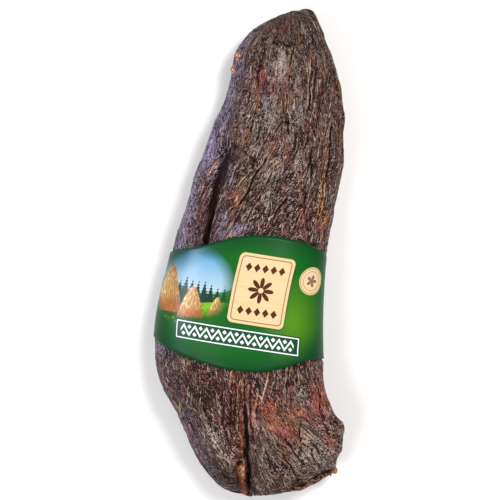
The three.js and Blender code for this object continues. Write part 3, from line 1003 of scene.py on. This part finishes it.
# Gritty sinew: a dark rim, an amber core and bright streaks of painted highlight
def drawSinews(colour, strip):
    place = add("ShaderNodeTexCoord", None, "Object") * tuple(1 / (size * mm) for size in (0.95, 2.0, 1.5))
    grit = cloud(place, 1.5)
    core = between(strip + grit * 1.5, 0.98, 1.5)
    bright = between(strip * 0.6 + grit * 1.5, 1.22, 1.52)
    dull = between(grit, 0.40, 0.30)
    paint = coated(
        beef["rim"],
        (core, beef["sinew"]),
        (bright * 0.85, beef["shine"]),
        (dull * 0.85, beef["dark"]),
    )
    return coated(colour, (between(strip, 0.02, 0.12), paint))


# The grain's tone around zero with painted glints, calmer in banded zones and stronger in the painted
# violet sheen
def grainTone():
    dash = woven("dashes")
    dashes = between(dash, 0.58, 0.68) - between(dash, 0.42, 0.32)
    dashes = dashes * between(attribute("lobe"), 0, 1, 1.0, 2.0)
    narrow, scales = fibreBundles(*bundled["narrow"])[0], fibreCrackle(*cracked["scales"])
    tone = steep(woven("speck")) * 0.55 + steep(woven("fine")) * 0.68 + narrow * 0.06 + scales * 0.03
    tone = tone + dashes * 0.22 - woven("pits") * 0.36 + woven("sparks") * 0.31 - 0.075
    tone = tone * woven("uneven") * between(attribute("banded"), 0, 1, 1.0, 0.55)
    return tone * between(attribute("violetSheen"), 0, 1, 1.0, 1.35)


# The tone of furrows, plates, creases and long bands, with painted light and shade, and the wide bundles'
# own tone
def lineTone():
    level = woven("plates")
    plates = between(level, 0.44, 0.465, -1.0, 0.0) + between(level, 0.535, 0.56)
    creases = (1.0 - fibreCrackle(*cracked["creases"])) * woven("creased")
    wide, wideTone = fibreBundles(*bundled["wide"])
    middle, middleTone = fibreBundles(*bundled["middle"])
    tone = middle * 0.07 + middleTone * 0.035 - (1.0 - wide) * woven("split") * 0.28
    tone = tone + plates * 0.07 - creases * 0.34 + woven("long") * attribute("banded") * 0.14
    return tone + attribute("ridge") * 0.06, wideTone


# A ramp of browns by the tone, other hues and the patches, then painted shade in hollows and painted glints
def beefColour(tone):
    colour = ramp(tone, ((0.33, "black"), (0.435, "dark"), (0.54, "brown"), (0.648, "tan"), (0.77, "pale")))
    fleck, lit = between(tone, 0.40, 0.56), between(tone, 0.36, 0.52)
    warmth, yellow = woven("warmth"), woven("yellow")
    hues = ((yellow, 0.54, 0.60, "olive"), (warmth, 0.53, 0.59, "rust"), (warmth, 0.46, 0.40, "plum"))
    for value, low, high, hue in hues:
        colour = coated(colour, (between(value, low, high, 0.0, 0.9) * fleck, beef[hue]))
    shine = between(tone, 0.40, 0.74, 0.15, 2.1)
    for name, strength in patchStrength.items():
        paint = joined(shine, shine, shine) * beef[name]
        colour = coated(colour, (attribute(name) * lit * strength, paint))
    return coated(
        colour,
        (attribute("hollow") * 0.93, beef["black"]),
        # painted glints: bluish-white specks in the violet sheen
        (woven("glint") * attribute("violetSheen") * attribute("skin") * 0.75, beef["frost"]),
        # painted glints on the lighter tones
        (woven("spark") * lit * 0.7, beef["spark"]),
    )


# The shreds have a tone attribute, which differs from one to the next, and the skin has none
def driedBeef(name, toneAmount):
    material = newMaterial(name)
    strip, grain = attribute("sinew"), grainTone()
    lines, wideTone = lineTone()
    tone = grain + lines + woven("mottle") * 0.14 + wideTone * 0.03 + (attribute("tone") - 0.5) * toneAmount
    tone = tone + attribute("shade") + beefSurface["tone"]
    colour, drawn = drawLines(beefColour(tone))
    depth = (grain + lines * 1.4 + drawn * 0.3) * between(strip, 0.0, 0.25, 1.0, 0.25)
    rough = between(tone, 0.4, 0.7, beefSurface["roughDark"], beefSurface["roughPale"])
    bump = {"Height": depth, "Strength": 1.0, "Distance": beefSurface["relief"] * mm}
    setSurface({
        "Base Color": drawSinews(colour, strip),
        "Roughness": mixed(between(strip, 0.1, 0.4), rough, beefSurface["roughSinew"]),
        "Normal": add("ShaderNodeBump", bump),
        "Specular IOR Level": beefSurface["specular"],
    })
    return material


skinFinish = driedBeef("driedBeef", 0.0)
shredFinish = driedBeef("driedBeefShreds", beefSurface["shreds"])
meatSkin = makeMeatSkin()
meatSkin.data.materials.append(skinFinish)
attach(meatSkin, "root")
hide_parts("meat")
print("meat skin:", len(meatSkin.data.polygons), "faces")


# Shreds: short dry flakes that lie all over the skin, along its fibres

shreds = {
    "Density": 0.16,  # how many to each square mm
    "Shortest": 0.6,  # half lengths, widths and heights, mm
    "Longest": 2.8,
    "Width": 0.3,
    "Height": 0.22,
    "Stray": 0.25,  # radians
    "Crumple": 0.3,
    "Seed": 5,
}


def startGroup(name, settings):
    Wire.tree = bpy.data.node_groups.new(name, "GeometryNodeTree")
    kinds = {"Geometry": "Geometry", "Skin": "Object", "Finish": "Material"}
    kinds.update({label: "Int" if isinstance(value, int) else "Float" for label, value in settings.items()})
    for label, kind in kinds.items():
        Wire.tree.interface.new_socket(label, in_out="INPUT", socket_type="NodeSocket" + kind)
    Wire.tree.interface.new_socket("Geometry", in_out="OUTPUT", socket_type="NodeSocketGeometry")
    given = add("NodeGroupInput")
    info = {"Object": given["Skin"]}
    return given, add("GeometryNodeObjectInfo", info, "Geometry", transform_space="ORIGINAL")


def endGroup(geometry, finish):
    geometry = add("GeometryNodeRemoveAttribute", {"Geometry": geometry, "Name": "skin"})
    add("NodeGroupOutput", {0: add("GeometryNodeSetMaterial", {"Geometry": geometry, "Material": finish})})
    return Wire.tree


def grow(name, tree, settings, finish, mesh=None):
    host = addObject(name, mesh or bpy.data.meshes.new(name))
    modifier = host.modifiers.new("grow", "NODES")
    modifier.node_group = tree
    values = {"Skin": meatSkin, "Finish": finish, **settings}
    for item in tree.interface.items_tree:
        if item.in_out == "INPUT" and item.name in values:
            modifier[item.identifier] = values[item.name]
    grown = evaluated(host)
    host.modifiers.clear()
    host.data = grown
    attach(host, "root")
    print(name + ":", sum(len(p.vertices) - 2 for p in grown.polygons), "triangles")


def named(name, kind="FLOAT"):
    return add("GeometryNodeInputNamedAttribute", {"Name": name}, data_type=kind)


def randomOf(low, high, seed):
    if isinstance(low, tuple):
        return add("FunctionNodeRandomValue", {0: low, 1: high, 8: seed}, data_type="FLOAT_VECTOR")
    return add("FunctionNodeRandomValue", {2: low, 3: high, 8: seed}, 1, data_type="FLOAT")


# Copies of a small shape strewn over the bare skin and laid along the fibres, each with a tone of its own
def strew(given, geometry, shape, where, stray, size):
    density = named("bare") * where * given["Density"] * (1 / mm**2)
    spread = {"Mesh": geometry, "Density": density, "Seed": given["Seed"]}
    points = add("GeometryNodeDistributePointsOnFaces", spread, "Points")
    toned = {"Geometry": points, "Name": "tone", "Value": randomOf(0.0, 1.0, 1)}
    toned = add("GeometryNodeStoreNamedAttribute", toned, data_type="FLOAT", domain="POINT")
    stand = add("FunctionNodeAlignRotationToVector", {"Vector": points["Normal"]}, axis="Z")
    lay = {"Rotation": stand, "Vector": named("flow", "FLOAT_VECTOR")}
    lay = add("FunctionNodeAlignRotationToVector", lay, axis="Y", pivot_axis="Z")
    turn = add("FunctionNodeEulerToRotation", {0: randomOf((-0.3, -0.3, -1.0), (0.3, 0.3, 1.0), 2) * stray})
    laid = add("FunctionNodeRotateRotation", {"Rotation": lay, "Rotate By": turn}, rotation_space="LOCAL")
    placed = {"Points": toned, "Instance": shape, "Rotation": laid, "Scale": size}
    return add("GeometryNodeRealizeInstances", {0: add("GeometryNodeInstanceOnPoints", placed)})


def crumple(geometry, amount, size):
    place = add("GeometryNodeInputPosition") * (1 / (size * mm))
    offset = (cloud(place, 1.0)["Color"] - (0.5, 0.5, 0.5)) * (amount * (2 * mm))
    return add("GeometryNodeSetPosition", {"Geometry": geometry, "Offset": offset})


def makeShreds():
    given, geometry = startGroup("shreds", shreds)
    flake = add("GeometryNodeMeshUVSphere", {"Segments": 4, "Rings": 2, "Radius": 1 * mm})
    width, high = given["Width"] * randomOf(0.6, 1.5, 3), given["Height"] * randomOf(0.6, 1.5, 5)
    size = joined(width, randomOf(given["Shortest"], given["Longest"], 4), high)
    where = between(named("hairy"), 0, 1, 0.45, 1.0)
    flakes = strew(given, geometry, flake, where, given["Stray"], size)
    return endGroup(crumple(flakes, given["Crumple"], 1.7), given["Finish"])


grow("shreds", makeShreds(), shreds, shredFinish)


# Strands: loose pale fibres, longer and thinner than the shreds

strands = {
    "Density": 0.05,
    "Shortest": 2.0,
    "Longest": 9.0,
    "Width": 0.19,
    "Stray": 0.2,
    "Crossing": 0.55,  # how much more they stray in the hairy zones
    "Wave": 0.22,
    "Lift": 0.05,
    "Seed": 8,
}
strandColours = {
    "dark": (0.15, 0.10, 0.08),
    "pale": (0.52, 0.44, 0.37),
    "warm": (0.50, 0.28, 0.11),
    "red": (0.32, 0.07, 0.05),
    "violetSheen": (0.32, 0.29, 0.46),
}


# Lays curves on the skin and gives them a tapering round section
def drape(curves, geometry, width, wave, lift, sides=3):
    waved = crumple(curves, wave, 5)
    nearest = add("GeometryNodeProximity", {"Geometry": geometry}, "Position", target_element="FACES")
    normal = {"Mesh": geometry, "Value": add("GeometryNodeInputNormal")}
    normal = add("GeometryNodeSampleNearestSurface", normal, "Value", data_type="FLOAT_VECTOR")
    down = add("GeometryNodeSetPosition", {"Geometry": waved, "Position": nearest + normal * (lift * mm)})
    factor = add("GeometryNodeSplineParameter", None, "Factor")
    taper = calc("POWER", calc("SINE", between(factor, 0, 1, 0.12, math.pi - 0.12)), 0.6)
    ring = add("GeometryNodeCurvePrimitiveCircle", {"Resolution": sides, "Radius": 1 * mm}, mode="RADIUS")
    values = {"Curve": down, "Profile Curve": ring, "Scale": width * taper, "Fill Caps": True}
    return add("GeometryNodeCurveToMesh", values)


def makeStrands():
    given, geometry = startGroup("strands", strands)
    loose = named("hairy")
    where = between(calc("MAXIMUM", loose, named("lobe") * 0.6), 0, 1, 0.25, 1.0)
    line = add("GeometryNodeCurvePrimitiveLine", {"Start": (0, -0.5 * mm, 0), "End": (0, 0.5 * mm, 0)})
    line = add("GeometryNodeResampleCurve", {"Curve": line, "Count": 7}, mode="COUNT")
    size = joined(1.0, randomOf(given["Shortest"], given["Longest"], 4), 1.0)
    lines = strew(given, geometry, line, where, given["Stray"] + given["Crossing"] * loose, size)
    width = given["Width"] * between(named("tone"), 0, 1, 0.6, 1.5)
    return endGroup(drape(lines, geometry, width, given["Wave"], given["Lift"]), given["Finish"])


def strandFinish():
    material = newMaterial("paleStrands")
    hue = cloud(attribute("grain", "Vector"), 2.0, 0.09)
    warm = calc("MAXIMUM", between(hue, 0.54, 0.70, 0.0, 0.35), attribute("amber"), True)
    colour = coated(
        strandColours["dark"],
        (between(attribute("tone"), 0.1, 0.9), strandColours["pale"]),
        (warm, strandColours["warm"]),
        (attribute("redness") * 0.7, strandColours["red"]),
        # painted sheen on strands in the violet zone
        (attribute("violetSheen") * 0.6, strandColours["violetSheen"]),
        # painted shade on strands lying in the hollows
        (attribute("hollow") * 0.7, beef["dark"]),
    )
    setSurface({"Base Color": colour, "Roughness": 0.42})
    return material


grow("strands", makeStrands(), strands, strandFinish())


# Fat: threads and beads in the skin. Path seen from above in mm, half width, how amber it is, and how deep
# it is sunk, as a share of its half width.

fat = {"Step": 0.8, "Wave": 0.5, "Lift": 0.15}  # mm
fatPieces = [
    ([(-13.2, -87), (-13.6, -96), (-14.3, -104)], 0.95, 0.8, 0.5),
    ([(13.6, -87), (13, -95), (11.5, -104), (10, -111)], 0.85, 0.45, 0.5),
    ([(-37, 66), (-40.7, 59), (-44, 52)], 0.95, 0.85, 0.4),
    ([(-2.4, -155.5), (0.8, -159)], 0.5, 0.1, 0.5),
    ([(-33.6, 131.0), (-31.8, 137)], 3.1, 1.0, 0.3),
    ([(-33.2, 130.5), (-32.4, 133)], 1.8, 1.0, 0.0),
    ([(-29.8, 142), (-28.2, 146.5)], 2.9, 0.9, 0.3),
    ([(-30, 140), (-28.8, 142)], 1.5, 1.0, 0.1),
    ([(70.2, -157), (71.4, -160), (69.8, -163.5)], 2.6, 1.0, 0.15),
    ([(66.5, -163), (68.8, -165)], 1.7, 1.0, 0.2),
    ([(-50.5, -117), (-49.5, -125)], 0.95, 0.4, 0.5),
    ([(17, -127), (20, -130)], 0.8, 0.8, 0.5),
    ([(38, -115), (42, -117)], 0.8, 0.85, 0.5),
]
fatColours = {
    "tallow": (0.42, 0.27, 0.15),
    "amber": (0.38, 0.110, 0.016),
    "dull": (0.085, 0.020, 0.008),
    "bright": (0.78, 0.58, 0.36),
}


def makeFatPaths():
    places, edges, values = [], [], []
    for path, width, tone, sunk in fatPieces:
        for step, (x, y) in enumerate(path):
            place = meatTree.ray_cast(Vector((x * mm, y * mm, 0.2)), Vector((0, 0, -1)))[0]
            if step:
                edges.append((len(places) - 1, len(places)))
            places.append(place or (x * mm, y * mm, 25 * mm))
            values.append((width, tone, sunk * width))
    mesh = meshOf("fat", np.array(places) / mm, [], edges)
    width, tone, sunk = np.transpose(values)
    writeValues(mesh, width=width, tone=tone, sunk=sunk)
    return mesh


def makeFat():
    given, geometry = startGroup("fat", fat)
    curves = add("GeometryNodeMeshToCurve", {"Mesh": given["Geometry"]})
    spaced = {"Curve": curves, "Length": given["Step"] * mm}
    curves = add("GeometryNodeResampleCurve", spaced, mode="LENGTH")
    body = drape(curves, geometry, named("width"), given["Wave"], given["Lift"] - named("sunk"), 10)
    return endGroup(crumple(body, named("width") * 0.45, 1.6), given["Finish"])


def fatFinish():
    material = newMaterial("fat")
    position = add("ShaderNodeTexCoord", None, "Object")
    dull = between(attribute("tone"), 0.86, 0.98, 0.9, 0.3)
    streaks = (1300, 260, 1300)  # to the metre
    dull = between(cloud(position * streaks), 0.56, 0.42) * dull
    # Painted glints: bright specks of highlight on the fat
    speck = between(cloud(position, 1.0, streaks[0]), 0.60, 0.68, 0.0, 0.8)
    colour = coated(
        fatColours["tallow"],
        (attribute("tone"), fatColours["amber"]),
        (dull, fatColours["dull"]),
        (speck, fatColours["bright"]),
    )
    setSurface({
        "Base Color": colour,
        "Roughness": 0.24,
        "Subsurface Weight": 0.15,
        "Subsurface Radius": (0.002, 0.001, 0.0005),
        "Subsurface Scale": 0.5,
    })
    return material


grow("fat", makeFat(), fat, fatFinish(), makeFatPaths())


# Label sleeve: a paper loop on the surface of the sleeve's solid, glued over itself on the underside

sleeve = {
    "columns": 340,  # of the grid, round the muscle
    "rows": 34,
    "thick": 0.34,  # mm
    "overlap": 14,  # mm of paper that lies double
    "seam": 176,  # degrees round from the top
    "waves": 0.16,  # mm
    "lift": 0.14,  # how far the edges stand off, mm
    "floor": 0.08,  # how far the paper stays off the floor, mm
}


# The ends of the sleeve's solid at one angle, found by halving the step to them
def sleeveEnds(angle):
    direction = Vector((math.sin(angle), 0, math.cos(angle)))
    ends = []
    for outward in (-1, 1):
        y, step = -40.0, 32.0
        while step > 0.05:
            found = sleeveTree.ray_cast(Vector(middleAt((y + outward * step) * mm)), direction)[0]
            y += outward * step if found else 0
            step /= 2 if not found or step < 32 else 1
        ends.append(y)
    return ends


def sleeveGrid(turns, share):
    grid = np.zeros((len(turns), len(share), 3))
    for i, angle in enumerate(turns):
        foot, top = sleeveEnds(angle)
        direction = np.array((math.sin(angle), 0, math.cos(angle)))
        for j, t in enumerate(share):
            middle = middleAt((foot + 0.15 + (top - foot - 0.3) * t) * mm)
            grid[i, j] = hit(sleeveTree, middle + 0.3 * direction, -direction)
    return grid / mm


# Blurs the distance from the middle line, so that the facets of the solid don't show
def softened(grid, turns):
    middles = middleAt(grid[..., 1] * mm) / mm
    distance = np.linalg.norm((grid - middles)[..., [0, 2]], axis=-1)
    around = np.concatenate([distance[-5:-1], distance, distance[1:5]])
    out = np.stack([np.sin(turns), 0 * turns, np.cos(turns)], -1)[:, None, :]
    return middles + out * blurLines(around, 0, bell(4, 1.8))[..., None]


# The outer and the inner side of the paper, with the print's coordinates
def sleeveSides(share):
    turns = math.radians(sleeve["seam"]) + np.linspace(0, 2 * math.pi, sleeve["columns"] + 1)
    outer = softened(sleeveGrid(turns, share), turns)
    legs = np.linalg.norm(np.diff(outer, axis=0), axis=-1)
    arc = np.concatenate([np.zeros((1, legs.shape[1])), np.cumsum(legs, axis=0)])
    front = np.argmin(abs(turns - 2 * math.pi))
    across = np.stack([arc - arc[front], outer[..., 1], 0 * arc], -1)
    normals = np.cross(np.gradient(outer, axis=0), np.gradient(outer, axis=1))
    normals = -normals / np.linalg.norm(normals, axis=-1, keepdims=True)
    normals *= np.sign((normals * (outer - middleAt(outer[..., 1] * mm) / mm)).sum(-1, keepdims=True))
    free = smoothStep(outer[..., 2], 4, 16)
    wave, frill = noiseAt(outer / (26, 40, 26)), noiseAt(outer / 15 + 40)
    edge = np.maximum(smoothStep(share, 0.09, 0), smoothStep(share, 0.91, 1))
    away = free * (sleeve["waves"] * 2 * np.maximum(wave, -0.2) + sleeve["lift"] * edge * (1 + 1.5 * frill))
    away = away - (sleeve["thick"] + 0.06) * (smoothStep(arc, sleeve["overlap"] + 1, sleeve["overlap"]))
    outer = outer + normals * away[..., None]
    inner = outer - normals * sleeve["thick"]
    outer[..., 2] = np.maximum(outer[..., 2], sleeve["floor"])
    inner[..., 2] = np.maximum(inner[..., 2], sleeve["floor"] + sleeve["thick"])
    return outer, inner, across


def sleeveMesh():
    share = np.linspace(0, 1, sleeve["rows"] + 1)
    sides = [side.reshape(-1, 3) for side in sleeveSides(share)]
    count = len(sides[0])
    index = np.arange(count).reshape(-1, len(share))
    a, b, c, d = index[:-1, :-1], index[1:, :-1], index[1:, 1:], index[:-1, 1:]
    front = np.stack([a, b, c, d], -1).reshape(-1, 4)
    back = np.stack([a, d, c, b], -1).reshape(-1, 4) + count
    rim = []
    for line in (index[:, 0], index[-1], index[::-1, -1], index[0, ::-1]):
        rim.append(np.stack([line[:-1], line[:-1] + count, line[1:] + count, line[1:]], -1))
    faces = np.concatenate([front, back, *rim])
    mesh = meshOf("labelSleeve", np.concatenate(sides[:2]), faces.tolist())
    writeValues(mesh, print=np.concatenate([sides[2]] * 2), share=np.tile(share, len(index) * 2))
    writeValues(mesh, face=np.repeat([1.0, 0.0], count))
    mesh.polygons.foreach_set("use_smooth", np.arange(len(faces)) < len(front) + len(back))
    return mesh


# Print. Places and sizes are mm from the middle of the front, across, and from the frame's origin, along.

paper = {
    "darkGreen": (0.002, 0.045, 0.012),
    "green": (0.004, 0.102, 0.009),
    "lime": (0.13, 0.31, 0.008),
    "ribbon": (0.004, 0.060, 0.026),
    "white": (0.86, 0.88, 0.84),
    "cream": (0.70, 0.51, 0.29),
    "creamShade": (0.61, 0.385, 0.17),
    "brown": (0.06, 0.018, 0.006),
    "skyBlue": (0.06, 0.29, 0.52),
    "skyPale": (0.43, 0.57, 0.63),
    "farHill": (0.035, 0.15, 0.075),
    "nearHill": (0.17, 0.40, 0.008),
    "straw": (0.66, 0.43, 0.15),
    "strawLit": (0.86, 0.70, 0.40),
    "strawShade": (0.20, 0.066, 0.012),
    "strawBase": (0.50, 0.15, 0.018),
    "stalk": (0.045, 0.035, 0.008),
    "petal": (0.85, 0.72, 0.25),
    "fir": (0.005, 0.035, 0.010),
    "back": (0.72, 0.72, 0.69),
}
printed = {
    "sky": {"at": (-44, -29), "half": (38, 31)},
    "panel": {"at": (13, -29), "half": (21, 26), "turn": -4},
    "ribbon": {"at": (-2, -65), "half": (48, 7.5), "turn": -4},
    "disc": {"at": (51, -19), "radius": 10.3},
    "glow": {"at": (40, -50), "half": (26, 36)},
}
stacks = (((-62, -50), 17), ((-38, -53), 11), ((-18, -50), 6.5))  # foot and half width of each haystack


def localPlace(place, at, turn=0.0):
    values = {"Vector": place, "Location": (*at, 0), "Rotation": (0, 0, math.radians(turn))}
    return add("ShaderNodeMapping", values, vector_type="TEXTURE")


def ovalDistance(place, at, half):
    return length((place - (*at, 0)) / (*half, 1))


def boxMask(local, half, inset, corner, soft=0.2):
    reach = (half[0] - inset - corner, half[1] - inset - corner, 0)
    return between(length(calc("MAXIMUM", abs(local) - reach, (0, 0, 0))), corner + soft, corner - soft)


def discMask(local, radius, soft=0.2):
    return between(length(local), radius + soft, radius - soft)


# Distance from the middle of the nearest of equally spaced lines
def repeated(value, period):
    return calc("PINGPONG", value, period / 2)


def diamonds(local, shift, period, half):
    x, y = parts(local - (*shift, 0))
    return between(repeated(x, period) / half[0] + abs(y) / half[1], 1.06, 0.94)


# A flower of rounded petals, out to the core and the reach together
def flower(local, petals, reach, core):
    x, y = parts(local)
    petal = abs(calc("COSINE", calc("ARCTAN2", y, x) * (petals / 2)))
    return between(petal * reach + core - length(local), -0.2, 0.2)


def wavy(u, base, rise, long, phase):
    return calc("SINE", u / long + phase) * rise + base


def below(v, line, soft=0.25):
    return between(line - v, -soft, soft)


def firRow(u, v, base, tall, period):
    number = calc("FLOOR", u / period + 0.5)
    vary = add("ShaderNodeTexWhiteNoise", {"W": number}, "Value", noise_dimensions="1D")
    slope = (repeated(u, period) + repeated(v, 2.2) * 0.9) * 4.2
    return below(v, between(vary, 0, 1, 0.55, 1.0) * tall + base - slope)


# Noise drawn out into upright strokes
def drawnOut(place, wide, tall, seed=0):
    return cloud((place + (seed, seed, 0)) * (1 / wide, 1 / tall, 1))


def paintStack(picture, place, straw, at, half):
    foot = ovalDistance(place, (at[0] + 0.5 * half, at[1] - 0.3), (1.25 * half, 0.28 * half))
    x, y = parts(localPlace(place, at))
    top = (1.0 - calc("POWER", abs(x / half), 1.7)) * (half * 2.1)
    mask = below(y, top) * between(y, -0.2, 0.2)
    shade = calc("ADD", between(x, -half, half) * 0.7, between(straw, 0.35, 0.65, -0.3, 0.4), True)
    base = coated(paper["strawBase"], (shade, paper["strawShade"]))
    low = between(y + straw * (0.8 * half), half * 1.15, half * 0.75)
    coats = (shade, paper["strawShade"]), (between(shade, 0.16, 0.0), paper["strawLit"]), (low * 0.85, base)
    body = coated(paper["straw"], *coats)
    return coated(picture, (between(foot, 1.0, 0.6, 0.0, 0.75), paper["darkGreen"]), (mask, body))


def paintScene(place, colour):
    u, v = parts(place)
    tuft = between(drawnOut(place, 1.1, 3.2), 0.5, 0.7, 0.0, 0.55)
    meadow = coated(paper["nearHill"], (between(v, -44, -62), paper["green"]), (tuft, paper["darkGreen"]))
    picture = coated(
        paper["skyBlue"],
        (between(v, -4, -34, 0.0, 0.9), paper["skyPale"]),
        (below(v, wavy(u, -30, 4.5, 13, 0.6), 0.8), paper["farHill"]),
        (firRow(u + 3.1, v, -37, 17, 5.2), paper["fir"]),
        (firRow(u, v, -39, 13, 6.7), paper["fir"]),
        (below(v, wavy(u, -44, 4.0, 19, 2.2)), meadow),
    )
    straw = drawnOut(place, 0.9, 3.4)
    for at, half in stacks:
        picture = paintStack(picture, place, straw, at, half)
    front = between(v, -49, -56)
    stalks = between(drawnOut(place, 0.7, 4.5, 31), 0.52, 0.60) * front
    cells = add("ShaderNodeTexVoronoi", {"Vector": place, "Scale": 0.22}, "Distance")
    flowers = between(cells, 0.14, 0.10) * front
    picture = coated(picture, (stalks, paper["stalk"]), (flowers, paper["petal"]))
    return coated(colour, (between(ovalDistance(place, **printed["sky"]), 1.0, 0.72), picture))


def paintPanel(place, colour):
    (x, y), half, turn = printed["panel"].values()
    local = localPlace(place, (x, y), turn)
    shadow = boxMask(localPlace(place, (x + 0.8, y - 1), turn), half, 0, 5, 1.2)
    grain = between(cloud(local * (0.05, 0.55, 1)), 0.4, 0.75, 0.0, 0.55)
    wood = coated(paper["cream"], (grain, paper["creamShade"]))
    ink = (boxMask(local, half, 2, 3) - boxMask(local, half, 2.7, 2.4)) * 0.8
    ink = calc("MAXIMUM", ink, flower(local, 8, 7.0, 2.6) - discMask(local, 2.0))
    inside = boxMask(local, (half[0] - 5, half[1]), 0, 1)
    for up in (-16, 16):
        ink = calc("MAXIMUM", ink, diamonds(local, (0, up), 6.2, (2.5, 3.2)) * inside)
    return coated(
        colour,
        (shadow * 0.55, paper["fir"]),
        (boxMask(local, half, 0, 4), wood),
        (ink, paper["brown"]),
    )


def paintRibbon(place, colour):
    at, half, turn = printed["ribbon"].values()
    local = localPlace(place, at, turn)
    outline = boxMask(local, half, 1, 0.4) - boxMask(local, half, 1.8, 0.4)
    x, y = parts(local)
    thread = between(abs(y - (repeated(x, 9.0) * 1.5 - 3.4)), 1.25, 0.95)
    dots = calc("MAXIMUM", *[diamonds(local, shift, 9.0, (1.6, 1.6)) for shift in ((4.5, -2.6), (0, 2.6))])
    inside = boxMask(local, (half[0] - 5, half[1] - 2.2), 0, 0.4)
    ink = calc("MAXIMUM", outline, calc("MAXIMUM", thread, dots) * inside)
    return coated(colour, (boxMask(local, half, 0, 0.6), paper["ribbon"]), (ink, paper["white"]))


def paintDisc(place, colour):
    at, radius = printed["disc"].values()
    local = localPlace(place, at)
    colour = coated(colour, (discMask(local, radius), paper["cream"]))
    for outer, inner in ((0.7, 1.2), (3.0, 3.4)):
        line = discMask(local, radius - outer) - discMask(local, radius - inner)
        colour = coated(colour, (line * 0.7, paper["brown"]))
    return coated(colour, (flower(local, 5, 3.6, 1.0) * 0.8, paper["brown"]))


def printedPaper():
    material = newMaterial("printedPaper")
    place = attribute("print", "Vector")
    fromFront = abs(parts(place)[0])
    glow = between(ovalDistance(place, **printed["glow"]), 1.0, 0.1, 0.0, 0.52)
    colour = coated(paper["darkGreen"], (between(fromFront, 95, 40), paper["green"]), (glow, paper["lime"]))
    colour = paintScene(place, colour)
    edge = abs(attribute("share") - 0.5)
    corner = edge * 1.5 + fromFront * 0.0065
    rim = calc("MAXIMUM", between(edge, 0.34, 0.5), between(corner, 0.72, 1.08), True)
    colour = coated(colour, (rim * 0.9, paper["darkGreen"]))
    for paint in (paintPanel, paintRibbon, paintDisc):
        colour = paint(place, colour)
    colour = coated(paper["back"], (between(attribute("face"), 0.02, 0.1), colour))
    setSurface({"Base Color": colour, "Roughness": 0.36, "Specular IOR Level": 0.1})
    return material


labelSleeve = addObject("labelSleeve", sleeveMesh())
labelSleeve.data.materials.append(printedPaper())
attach(labelSleeve, "root")
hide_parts("label_sleeve")
print("label sleeve:", len(labelSleeve.data.polygons), "faces")
